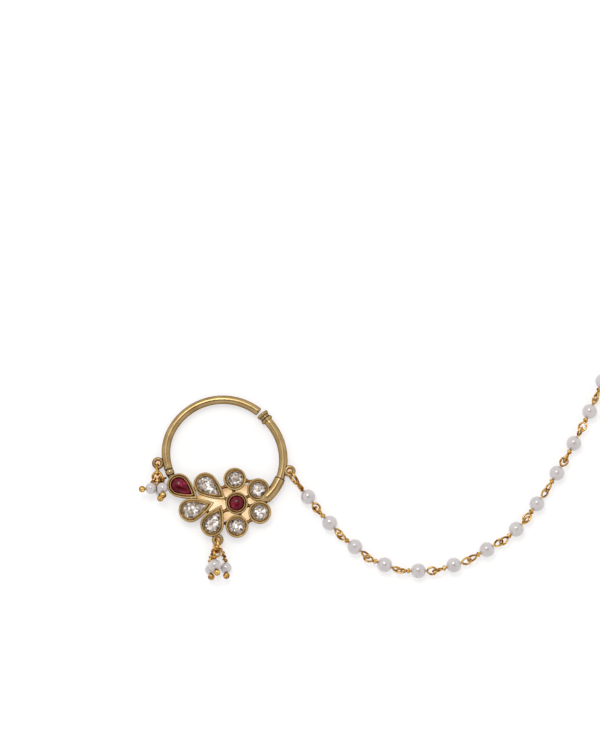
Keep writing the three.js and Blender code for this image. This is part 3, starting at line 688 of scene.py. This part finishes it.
def share_of_oval(tree, place, at, half_length, half_width, turn_deg):
    """How far out of an oval on the table a place lies: 0 in its middle, 1 on its edge."""
    within = tree.nodes.new("ShaderNodeMapping")
    within.vector_type = "TEXTURE"
    within.inputs["Location"].default_value = at
    within.inputs["Rotation"].default_value = (0, 0, math.radians(turn_deg))
    within.inputs["Scale"].default_value = (half_length, half_width, 1)
    tree.links.new(place, within.inputs["Vector"])
    out = tree.nodes.new("ShaderNodeVectorMath")
    out.operation = "LENGTH"
    tree.links.new(within.outputs["Vector"], out.inputs[0])
    return out.outputs["Value"]


def compared(tree, operation, value):
    """The larger or the smaller of a value and whatever is put on the node's second socket."""
    node = tree.nodes.new("ShaderNodeMath")
    node.operation = operation
    tree.links.new(value, node.inputs[0])
    return node


def white_table():
    """White backlit paper, with a painted warm glow where the gold would throw light down between the
    settings.
    """
    finish, tree, surface, place = new_finish("white_table", PAPER_SURFACE)
    tone = ramp(tree, noise(tree, place, PAPER_CLOUD, detail=2), PAPER_TONES)
    tree.links.new(tone, surface.inputs["Base Color"])
    shares = [
        share_of_oval(tree, place, (x * MM, y * MM, 0), half_length * MM, half_width * MM, turn_deg)
        for x, y, half_length, half_width, turn_deg in PAINTED_GLOW_OVALS
    ]
    # Painted light: warm spots under the eyelets and links as well
    eyelets = [left_eyelet_at, right_eyelet_at, bottom_eyelet_at]
    for at in [*eyelets, middle_of("left_ring"), middle_of("bottom_link")]:
        share = share_of_oval(tree, place, (at.x, at.y, 0), PAINTED_GLOW_SPOT_R, PAINTED_GLOW_SPOT_R, 0)
        spot = compared(tree, "MAXIMUM", share)
        spot.inputs[1].default_value = PAINTED_GLOW_SPOT_EDGE
        shares.append(spot.outputs["Value"])
    nearest = shares[0]
    for share in shares[1:]:
        smaller = compared(tree, "MINIMUM", nearest)
        tree.links.new(share, smaller.inputs[1])
        nearest = smaller.outputs["Value"]
    glow = ramp(tree, nearest, PAINTED_GLOW_TONES)
    tree.links.new(glow, surface.inputs["Emission Color"])
    finish.cycles.emission_sampling = "NONE"
    return finish


# Hoop


def bent_tube(start_deg, radius, bends, straight=0):
    """A tube bent round each (centre, radius, from, to) in turn, with a straight run at its end."""
    centre, bend_r, from_deg, _ = bends[0]
    start = on_circle(centre, bend_r, from_deg)
    bpy.ops.object.select_all(action="DESELECT")
    bpy.ops.mesh.primitive_circle_add(
        vertices=TUBE_SIDES, radius=radius, location=start,
        rotation=(math.pi / 2, 0, math.radians(start_deg)),
    )
    tube = settled(bpy.context.object)
    start_editing(tube)
    for centre, bend_r, from_deg, to_deg in bends:
        steps = max(2, round(abs(to_deg - from_deg) / DEG_PER_STEP))
        bpy.ops.mesh.spin(steps=steps, angle=math.radians(to_deg - from_deg), center=centre, axis=(0, 0, -1))
    if straight:
        run = straight * heading_at(bends[-1][3])
        bpy.ops.mesh.extrude_region_move(TRANSFORM_OT_translate={"value": run})
    bpy.ops.mesh.select_all(action="SELECT")
    bpy.ops.mesh.fill_holes(sides=0)
    seam_closed()
    stop_editing()
    return tube


def in_flower(x, y):
    return Vector((x * CUP_R, y * CUP_R, HOOP_Z))


left_foot = in_flower(*LEFT_FOOT)
left_foot_heading = heading_at(LEFT_FOOT_DEG)
left_foot_centre = on_circle(left_foot, -TIGHT_R, LEFT_FOOT_DEG)
left_centre = on_circle(left_foot_centre, TIGHT_R - BEND_R, LEFT_TIGHTENS_DEG)
right_foot_centre = on_circle(in_flower(*RIGHT_FOOT), -TIGHT_R, RIGHT_FOOT_DEG)
right_centre = on_circle(right_foot_centre, TIGHT_R - BEND_R, RIGHT_TIGHTENS_DEG)
knob_axis = heading_at(RIGHT_STRAIGHT_DEG)
knob_back = on_circle(right_centre, BEND_R, RIGHT_STRAIGHT_DEG) + KNOB_BACK * knob_axis
to_knob_face = knob_back + KNOB_LENGTH * knob_axis - left_centre
left_end_deg = math.degrees(math.atan2(to_knob_face.y, to_knob_face.x) + NOSTRIL_GAP / BEND_R)


def make_hoop(gold):
    left = bent_tube(left_end_deg, TUBE_R, [
        (left_centre, BEND_R, left_end_deg, LEFT_TIGHTENS_DEG),
        (left_foot_centre, TIGHT_R, LEFT_TIGHTENS_DEG, LEFT_FOOT_DEG),
    ])
    finished(edges_softened(left, TUBE_ROUND), "left_tube", gold, "hoop_left_tube")
    right = bent_tube(RIGHT_FOOT_DEG, TUBE_R, [
        (right_foot_centre, TIGHT_R, RIGHT_FOOT_DEG, RIGHT_TIGHTENS_DEG),
        (right_centre, BEND_R, RIGHT_TIGHTENS_DEG, RIGHT_STRAIGHT_DEG),
    ], KNOB_BACK + KNOB_OVERLAP)
    finished(edges_softened(right, TUBE_ROUND), "right_tube", gold, "hoop_right_tube")


def flange_corners(height, corners):
    """Corners of the knob's section round a face of a flange."""
    return [(KNOB_R - inward * KNOB_ROUND, height + up * KNOB_ROUND) for inward, up in corners]


def make_knob(gold):
    top = KNOB_LENGTH
    profile = [
        (0, top),
        *flange_corners(top, FRONT_CORNERS),
        *flange_corners(top - KNOB_FLANGE, GROOVE_CORNERS),
        (KNOB_NECK_R, top - KNOB_FLANGE - KNOB_FILLET),
        (KNOB_NECK_R, KNOB_FLANGE + KNOB_FILLET),
        *flange_corners(KNOB_FLANGE, [(inward, -up) for inward, up in reversed(GROOVE_CORNERS)]),
        *flange_corners(0, BACK_CORNERS),
        (KNOB_BORE_R, 0),
        (KNOB_BORE_R, top - KNOB_CAP),
        (0, top - KNOB_CAP),
    ]
    knob = moved(turned(profile), facing(knob_axis, knob_back))
    finished(knob, "knob", gold, "press_knob", body=KNOB_BODY)


def make_sleeve(gold):
    sleeve = bent_tube(SLEEVE_END_DEG, SLEEVE_R, [
        (right_foot_centre, TIGHT_R, SLEEVE_END_DEG, SLEEVE_MOUTH_DEG),
    ])
    mouth = on_circle(right_foot_centre, TIGHT_R, SLEEVE_MOUTH_DEG)
    start_editing(sleeve)
    bpy.ops.mesh.select_all(action="DESELECT")
    stop_editing()
    for face in sleeve.data.polygons:
        face.select = (face.center - mouth).length < SAME_PLACE
    bpy.ops.object.mode_set(mode="EDIT")
    bpy.ops.mesh.inset(thickness=SLEEVE_R - SLEEVE_BORE_R)
    inward = -SLEEVE_DEPTH * heading_at(SLEEVE_MOUTH_DEG)
    bpy.ops.mesh.extrude_region_move(TRANSFORM_OT_translate={"value": inward})
    stop_editing()
    finished(edges_softened(sleeve, TUBE_ROUND), "sleeve", gold, "flower_frame")
    length = SLEEVE_TAIL_LENGTH
    tail = turned([
        (0, -TUBE_ROUND), (SLEEVE_R - TUBE_ROUND, -TUBE_ROUND), (SLEEVE_R, 0),
        (SLEEVE_TAIL_R, length - 2 * TUBE_ROUND), (SLEEVE_TAIL_R - TUBE_ROUND, length), (0, length),
    ])
    end = on_circle(right_foot_centre, TIGHT_R, SLEEVE_END_DEG)
    moved(tail, facing(-heading_at(SLEEVE_END_DEG), end))
    finished(tail, "sleeve_tail", gold, "flower_frame")


def make_collar(gold):
    """A bead with a narrower neck behind it, so that a dark groove shows at both its ends."""
    profile = [
        (0, 0),
        *[(wide * COLLAR_R, along * COLLAR_BEAD) for wide, along in COLLAR_SECTION],
        (COLLAR_NECK_R, COLLAR_BEAD),
        (COLLAR_NECK_R, COLLAR_LENGTH),
        (0, COLLAR_LENGTH),
    ]
    at = left_foot + COLLAR_GAP * left_foot_heading
    collar = moved(turned(profile), facing(left_foot_heading, at))
    finished(collar, "collar", gold, "flower_frame")


def make_shade_rings(gap_shade):
    """Dark rings of painted shade at the sleeve's mouth, at both ends of the collar and in the knob's
    grooves.
    """
    sleeve_heading = heading_at(SLEEVE_MOUTH_DEG)
    sleeve_mouth = on_circle(right_foot_centre, TIGHT_R, SLEEVE_MOUTH_DEG)
    collar_foot = left_foot + (COLLAR_GAP + COLLAR_BEAD) * left_foot_heading
    back_groove = knob_back + KNOB_FLANGE * knob_axis
    front_groove = knob_back + (KNOB_LENGTH - KNOB_FLANGE - SHADE_RING_WIDTH) * knob_axis
    places = [
        ("shade_ring_sleeve", sleeve_mouth, sleeve_heading, SLEEVE_SHADE_RING, "flower_frame", BODY),
        ("shade_ring_collar_top", left_foot, left_foot_heading, COLLAR_SHADE_RING, "flower_frame", BODY),
        ("shade_ring_collar_foot", collar_foot, left_foot_heading, COLLAR_SHADE_RING, "flower_frame", BODY),
        ("shade_ring_knob_back", back_groove, knob_axis, KNOB_SHADE_RING, "press_knob", KNOB_BODY),
        ("shade_ring_knob_front", front_groove, knob_axis, KNOB_SHADE_RING, "press_knob", KNOB_BODY),
    ]
    for name, at, heading, (inner, outer), node, body in places:
        profile = [(inner, 0), (outer, 0), (outer, SHADE_RING_WIDTH), (inner, SHADE_RING_WIDTH), (inner, 0)]
        ring = moved(turned(profile, steps=SHADE_RING_STEPS), facing(heading, at))
        finished(ring, name, gap_shade, node, body=body)


# Flower


def pear_reach(turn, length):
    """Radius of a pear outline at an angle from its point; its round end's is 1, and its sides are bowed."""
    away = PEAR_BOW - 1
    leaves = math.acos((2 * away + 1 - length**2) / (2 * length * away))
    if abs(turn) >= leaves:
        return 1
    across = away * math.cos(leaves - abs(turn))
    return math.sqrt(across**2 + 2 * away + 1) - across


def drawn_to_point(piece, x, y, tip_x, tip_y):
    """Draws a round piece out to a pear and lays it in its place."""
    length = math.hypot(tip_x - x, tip_y - y) * CUP_R / PEAR_R
    for vertex in piece.data.vertices:
        reach = pear_reach(math.atan2(vertex.co.y, vertex.co.x), length)
        vertex.co.x *= reach
        vertex.co.y *= reach
    turn = Matrix.Rotation(math.atan2(tip_y - y, tip_x - x), 4, "Z")
    return moved(piece, Matrix.Translation((x * CUP_R, y * CUP_R, 0)) @ turn)


def cup(radius):
    """A setting: tapered wall, rounded rim, a slope down to the lip round the stone, and a ledge under it."""
    bore = radius - WALL
    ledge = bore - LEDGE_WIDTH
    lip_top = RIM_Z - LIP_DROP
    return turned([
        (0, 0),
        (radius - CUP_TAPER - CUP_FOOT_IN, 0),
        (radius - CUP_TAPER, CUP_FOOT_UP),
        *[(radius - inward * MM, RIM_Z - down * MM) for inward, down in RIM_SECTION],
        *[(bore + out * LIP_WIDTH, lip_top - down * MM) for out, down in LIP_SECTION],
        (bore, LEDGE_Z),
        (ledge, LEDGE_Z),
        (ledge, BACK_THICKNESS),
        (0, BACK_THICKNESS),
    ])


def dome(radius):
    """A smooth domed stone."""
    top = GIRDLE_Z + GIRDLE_HEIGHT
    profile = [(0, GIRDLE_Z - CULET_DEPTH / 2), (radius, GIRDLE_Z)]
    for i in range(DOME_RINGS):
        lift = math.pi / 2 * i / DOME_RINGS
        profile.append((radius * math.cos(lift), top + (DOME_RISE - GIRDLE_HEIGHT) * math.sin(lift)))
    profile.append((0, top + DOME_RISE - GIRDLE_HEIGHT))
    return turned(profile)


def gem_rings():
    """Rings of corner points from table to culet: share of the radius, height, corners and turn."""
    top = GIRDLE_Z + GIRDLE_HEIGHT
    crown = [(share, top + up * TABLE_RISE, corners, turn) for share, up, corners, turn in GEM_CROWN]
    back = [(share, GIRDLE_Z - down * CULET_DEPTH, corners, turn) for share, down, corners, turn in GEM_BACK]
    return crown + back


def cut_gem(radius, draw=lambda piece: piece):
    """A brilliant cut: its facets' corners are set out in rings, drawn to shape and closed by a hull."""
    rings = []
    for share, height, corners, turn in gem_rings():
        bpy.ops.object.select_all(action="DESELECT")
        bpy.ops.mesh.primitive_circle_add(
            vertices=corners, radius=share * radius, location=(0, 0, height),
            rotation=(0, 0, turn - math.pi / 2),
        )
        rings.append(bpy.context.object)
    gem = settled(joined(rings))
    draw(gem)
    start_editing(gem)
    bpy.ops.mesh.convex_hull()
    bpy.ops.mesh.select_all(action="SELECT")
    bpy.ops.mesh.dissolve_limited(angle_limit=math.radians(1))
    bpy.ops.mesh.normals_make_consistent(inside=False)
    stop_editing()
    return gem


def make_settings(gold, ruby, crystal):
    round_cup = cup(CUP_R)
    stone_r = CUP_R - WALL - STONE_CLEARANCE
    for stone, (x, y) in CUPS.items():
        place = Matrix.Translation((x * CUP_R, y * CUP_R, 0))
        setting = moved(copy_of(round_cup), place)
        finished(setting, "cup_" + stone, gold, "flower_frame")
        if stone.startswith("ruby"):
            finished(moved(dome(stone_r), place), "stone_" + stone, ruby, stone)
        else:
            gem = moved(cut_gem(stone_r), place)
            finished(gem, "stone_" + stone, crystal, stone, smooth_deg=1)
    bpy.data.objects.remove(round_cup)
    stone_r = PEAR_R - WALL - STONE_CLEARANCE
    for stone, place in PEARS.items():
        setting = drawn_to_point(cup(PEAR_R), *place)
        finished(setting, "cup_" + stone, gold, "flower_frame")
        if stone.startswith("ruby"):
            finished(drawn_to_point(dome(stone_r), *place), "stone_" + stone, ruby, stone)
        else:
            gem = cut_gem(stone_r, lambda piece: drawn_to_point(piece, *place))
            finished(gem, "stone_" + stone, crystal, stone, smooth_deg=1)


def make_bars(gold):
    bars = []
    for x1, y1, x2, y2 in BARS:
        start = Vector((x1 * CUP_R, y1 * CUP_R, BAR_Z))
        along = Vector((x2 * CUP_R, y2 * CUP_R, BAR_Z)) - start
        profile = [(radius, share * along.length) for radius, share in BAR_SECTION]
        bars.append(moved(turned(profile, steps=BAR_STEPS), facing(along, start)))
    finished(joined(bars), "solder_bars", gold, "flower_frame", smooth_deg=60)


def oval_points(half_length, half_width, narrow=0):
    """A closed loop in XY about the origin, narrower towards -X."""
    points = []
    for i in range(LOOP_POINTS):
        turn = 2 * math.pi * i / LOOP_POINTS
        width = half_width * math.sin(turn) * (1 + narrow * math.cos(turn))
        points.append(Vector((half_length * math.cos(turn), width, 0)))
    return points


def outside(centre, radius, deg, eyelet):
    """Where an eyelet stands outside a circle, a little sunk into what it is soldered to."""
    ring_r, height, sunk, _ = eyelet
    at = on_circle(centre, radius + ring_r - sunk, deg)
    return Vector((at.x, at.y, height))


left_eyelet_deg = LEFT_FOOT_DEG - math.degrees(LEFT_EYELET[3] / TIGHT_R)
left_eyelet_at = outside(left_foot_centre, TIGHT_R + TUBE_R, left_eyelet_deg, LEFT_EYELET)
right_eyelet_deg = RIGHT_FOOT_DEG + math.degrees(RIGHT_EYELET[3] / TIGHT_R)
right_eyelet_at = outside(right_foot_centre, TIGHT_R + TUBE_R, right_eyelet_deg, RIGHT_EYELET)
bottom_pear_at = in_flower(*PEARS["clear_pear_bottom"][:2])
bottom_eyelet_at = outside(bottom_pear_at, PEAR_R, BOTTOM_EYELET[3], BOTTOM_EYELET)


def make_eyelet(name, at, radius, node, gold):
    radius += EYELET_OUTSIDE - EYELET_WIRE
    ring = moved(bent_wire(oval_points(radius, radius), EYELET_WIRE, closed=True), Matrix.Translation(at))
    finished(ring, name, gold, node)


def make_eyelets(gold):
    make_eyelet("eyelet_left", left_eyelet_at, LEFT_EYELET[0], "hoop_left_tube", gold)
    make_eyelet("eyelet_right", right_eyelet_at, RIGHT_EYELET[0], "hoop_right_tube", gold)
    make_eyelet("eyelet_bottom", bottom_eyelet_at, BOTTOM_EYELET[0], "flower_frame", gold)


# Pearls and wires


def pearl(radius, bore):
    """A pearl drilled along Z, its hole's edge a little sunk."""
    start = math.asin(bore / radius)
    outer = []
    for i in range(PEARL_RINGS + 1):
        tilt = math.pi - start - (math.pi - 2 * start) * i / PEARL_RINGS
        outer.append((radius * math.sin(tilt), radius * math.cos(tilt)))
    low, high = [(r * BORE_NARROWS, z * BORE_SINKS) for r, z in (outer[0], outer[-1])]
    return turned([low, *outer, high, low], steps=PEARL_STEPS)


def middle_of(node):
    low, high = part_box(node)
    return (low + high) / 2


chain_places = [middle_of(f"chain_pearl_{i + 1:02d}") for i in range(len(LOOP_TURNS))]


def chain_heading(index):
    before = chain_places[index - 1] if index else right_eyelet_at
    after = chain_places[min(index + 1, len(chain_places) - 1)]
    step = after - before
    return math.atan2(step.y, step.x)


def chain_loop(start, end, half_width, turn_deg, wire=CHAIN_WIRE):
    """A teardrop loop along X from one place to another, turned about X."""
    loop = bent_wire(oval_points((end - start) / 2, half_width, narrow=LOOP_NARROWS), wire, closed=True)
    turn = Matrix.Rotation(math.radians(turn_deg), 4, "X")
    return moved(loop, Matrix.Translation(((start + end) / 2, 0, 0)) @ turn)


def chain_wire(index):
    """One pearl's wire: a shank, a plain loop on one side, and wrapped turns below a loop on the hoop's."""
    near_deg, far_deg = LOOP_TURNS[index]
    reach, half_width, loop_wire = NEAR_REACH, LOOP_HALF_WIDTH, CHAIN_WIRE
    wrap_length, wrap_turns = WRAP_LENGTH, WRAP_TURNS
    if index == 0:
        reach, half_width, loop_wire = FIRST_REACH, FIRST_HALF_WIDTH, FIRST_LOOP_WIRE
        wrap_length, wrap_turns = FIRST_WRAP_LENGTH, FIRST_WRAP_TURNS
    far_foot = BEAD_R + BEAD_GAP + CHAIN_WIRE
    wrap_from = -(BEAD_R + BEAD_GAP + WRAP_WIRE)
    wrap_to = -(BEAD_R + BEAD_GAP + wrap_length - WRAP_WIRE)
    near_foot = -(BEAD_R + BEAD_GAP + wrap_length + CHAIN_WIRE / 2)
    shank = bent_wire([Vector((near_foot, 0, 0)), Vector((far_foot, 0, 0))], CHAIN_WIRE)
    winding = helix(Vector((wrap_to, 0, 0)), Vector((wrap_from, 0, 0)), WRAP_R, wrap_turns)
    wire = joined([
        shank,
        bent_wire(winding, WRAP_WIRE),
        chain_loop(far_foot, FAR_REACH, LOOP_HALF_WIDTH, far_deg),
        chain_loop(near_foot, -reach, half_width, near_deg, loop_wire),
    ])
    heading = Matrix.Rotation(chain_heading(index), 4, "Z")
    return moved(wire, Matrix.Translation(chain_places[index]) @ heading)


def make_chain(gold, lustre):
    bead = pearl(BEAD_R, BEAD_BORE)
    for index, place in enumerate(chain_places):
        number = f"{index + 1:02d}"
        heading = chain_heading(index)
        axis = Vector((math.cos(heading), math.sin(heading), 0))
        strung = moved(copy_of(bead), facing(axis, place))
        finished(strung, "pearl_" + number, lustre, "chain_pearl_" + number)
        finished(chain_wire(index), "wire_" + number, gold, "chain_wire_" + number)
    bpy.data.objects.remove(bead)


def make_hook(gold):
    eye_x = FAR_REACH - CHAIN_WIRE - HOOK_WIRE - BEAD_GAP + HOOK_EYE_R
    shank_from = eye_x + HOOK_EYE_R
    shank_to = shank_from + HOOK_SHANK
    path = smooth_path([Vector(point) for point in (
        (shank_from - HOOK_WIRE / 2, 0, BEAD_R),
        (shank_from + HOOK_SLOPE_AT, 0, (BEAD_R + HOOK_WIRE) / 2),
        (shank_to, 0, HOOK_WIRE),
        (shank_to + HOOK_BEND_R, -HOOK_BEND_R, HOOK_WIRE),
        (shank_to, -2 * HOOK_BEND_R, HOOK_WIRE),
        (shank_to - HOOK_LEG / 2, -2 * HOOK_BEND_R, HOOK_WIRE),
        (shank_to - HOOK_LEG, -HOOK_TIP_OUT, HOOK_WIRE),
    )])
    eye = bent_wire(oval_points(HOOK_EYE_R, HOOK_EYE_R), HOOK_WIRE, closed=True)
    moved(eye, Matrix.Translation((eye_x, 0, BEAD_R)))
    hook = joined([eye, bent_wire(path, HOOK_WIRE)])
    last = len(chain_places) - 1
    at = Vector((chain_places[last].x, chain_places[last].y, 0))
    moved(hook, Matrix.Translation(at) @ Matrix.Rotation(chain_heading(last), 4, "Z"))
    finished(hook, "hook", gold, "hair_hook")


def link_matrix(node):
    axis_deg, turn_deg, _, _ = LINKS[node]
    turn = Matrix.Rotation(math.radians(axis_deg), 4, "Z") @ Matrix.Rotation(math.radians(turn_deg), 4, "X")
    return Matrix.Translation(middle_of(node)) @ turn


def link_halves(node):
    _, _, half_length, half_width = LINKS[node]
    return half_length * MM, half_width * MM


def make_link(node, name, gold):
    ring = moved(bent_wire(oval_points(*link_halves(node)), LINK_WIRE, closed=True), link_matrix(node))
    finished(ring, name, gold, node)


def on_link(node, deg):
    """Place, direction of the wire and outward direction at one point of a link."""
    turn = math.radians(deg)
    matrix = link_matrix(node)
    half_length, half_width = link_halves(node)
    at = matrix @ Vector((half_length * math.cos(turn), half_width * math.sin(turn), 0))
    along = matrix.to_3x3() @ Vector((-half_length * math.sin(turn), half_width * math.cos(turn), 0))
    outward = matrix.to_3x3() @ Vector((math.cos(turn) / half_length, math.sin(turn) / half_width, 0))
    return at, along.normalized(), outward.normalized()


def make_drop(name, link, drop, gold, lustre):
    """A pearl on a ball-ended wire whose other end is wound below the loop that hangs on its link."""
    deg, radius, aim = drop
    radius *= MM
    axis = Vector(aim).normalized()
    at, along, outward = on_link(link, deg)
    pearl_at = middle_of("drop_pearl_" + name)
    ball_at = pearl_at + (radius + DROP_BALL_R + DROP_BALL_GAP) * axis
    leaves = pearl_at - (radius + DROP_WIRE + DROP_NECK_GAP) * axis
    loop_at = at + DROP_LOOP_SHIFT * outward
    toward = leaves - loop_at
    in_loop = (toward - toward.dot(along) * along).normalized()
    meets = loop_at + DROP_LOOP_R * in_loop
    bpy.ops.object.select_all(action="DESELECT")
    bpy.ops.mesh.primitive_uv_sphere_add(segments=32, ring_count=20, radius=DROP_BALL_R, location=ball_at)
    ball = settled(bpy.context.object)
    loop = bent_wire(oval_points(DROP_LOOP_R, DROP_LOOP_R), DROP_WIRE, closed=True)
    moved(loop, facing(along, loop_at))
    turns = NECK_WRAP_TURNS if (meets - leaves).length > SHORT_NECK else 1
    wound = helix(leaves, leaves.lerp(meets, NECK_WRAP_SHARE), NECK_WRAP_R, turns)
    winding = bent_wire(wound, NECK_WRAP_WIRE)
    wire = joined([bent_wire([ball_at, leaves, meets], DROP_WIRE), ball, loop, winding])
    finished(wire, "drop_wire_" + name + "_bent", gold, "drop_wire_" + name)
    bead = moved(pearl(radius, DROP_BORE), facing(axis, pearl_at))
    finished(bead, "pearl_" + name, lustre, "drop_pearl_" + name)


def make_clusters(gold, lustre):
    make_link("left_link", "link_left", gold)
    make_link("left_ring", "ring_left", gold)
    make_link("bottom_link", "link_bottom", gold)
    for link, drops in (("left_ring", LEFT_DROPS), ("bottom_link", BOTTOM_DROPS)):
        for name, drop in drops.items():
            make_drop(name, link, drop, gold, lustre)


# Table, light and camera


def make_table():
    bpy.ops.object.select_all(action="DESELECT")
    bpy.ops.mesh.primitive_plane_add(size=FLOOR_SIZE)
    table = bpy.context.object
    table.name = "table"
    table.data.materials.append(white_table())


def light_studio():
    world = bpy.data.worlds.new("studio")
    world.use_nodes = True
    tree = world.node_tree
    direction = tree.nodes.new("ShaderNodeTexCoord")
    split = tree.nodes.new("ShaderNodeSeparateXYZ")
    tree.links.new(direction.outputs["Generated"], split.inputs["Vector"])
    sky = ramp(tree, split.outputs["Z"], SKY_TONES)
    tree.links.new(sky, tree.nodes["Background"].inputs["Color"])
    tree.nodes["Background"].inputs["Strength"].default_value = SKY_STRENGTH
    bpy.context.scene.world = world


def softbox(name, tilt_deg, round_deg, away, size, watts):
    """A round softbox, tilted from straight above towards a compass direction."""
    tilt, turn = math.radians(tilt_deg), math.radians(round_deg)
    toward = Vector((math.sin(tilt) * math.sin(turn), math.sin(tilt) * math.cos(turn), math.cos(tilt)))
    lamp = bpy.data.lights.new(name, "AREA")
    lamp.shape = "DISK"
    lamp.size = size
    lamp.energy = watts
    box = bpy.data.objects.new(name, lamp)
    box.location = CAMERA_AIM + away * toward
    box.rotation_mode = "QUATERNION"
    box.rotation_quaternion = toward.to_track_quat("Z", "Y")
    bpy.context.collection.objects.link(box)


def set_camera():
    lens = bpy.data.cameras.new("camera")
    lens.sensor_fit = "AUTO"
    lens.sensor_width = SENSOR_MM
    lens.lens = SENSOR_MM * CAMERA_AWAY / FRAME_HEIGHT
    lens.clip_start = CLIP_START
    lens.clip_end = CLIP_END
    camera = bpy.data.objects.new("camera", lens)
    rise = math.radians(CAMERA_RISE_DEG)
    camera.location = CAMERA_AIM + CAMERA_AWAY * Vector((0, -math.cos(rise), math.sin(rise)))
    camera.rotation_euler = (math.pi / 2 - rise, 0, 0)
    bpy.context.collection.objects.link(camera)
    bpy.context.scene.camera = camera


def build():
    set_camera()
    tube_gold = satin_gold("tube_gold", TUBE_TONES, TUBE_PAINTED_SHADE, TUBE_ROUGHNESS)
    setting_gold = satin_gold("setting_gold", SETTING_TONES, SETTING_PAINTED_SHADE, SETTING_ROUGHNESS)
    wire_gold = bright_gold()
    lustre = nacre()
    make_hoop(tube_gold)
    make_knob(tube_gold)
    make_sleeve(tube_gold)
    make_collar(tube_gold)
    make_shade_rings(painted_gap_shade())
    make_settings(setting_gold, ruby_red(), crystal_painted_sparkle())
    make_bars(solder_gold())
    make_eyelets(tube_gold)
    make_chain(wire_gold, lustre)
    make_hook(wire_gold)
    make_clusters(wire_gold, lustre)
    make_table()
    light_studio()
    for name, settings in SOFTBOXES.items():
        softbox(name, *settings)
    bpy.context.scene.view_settings.view_transform = "Standard"


build()
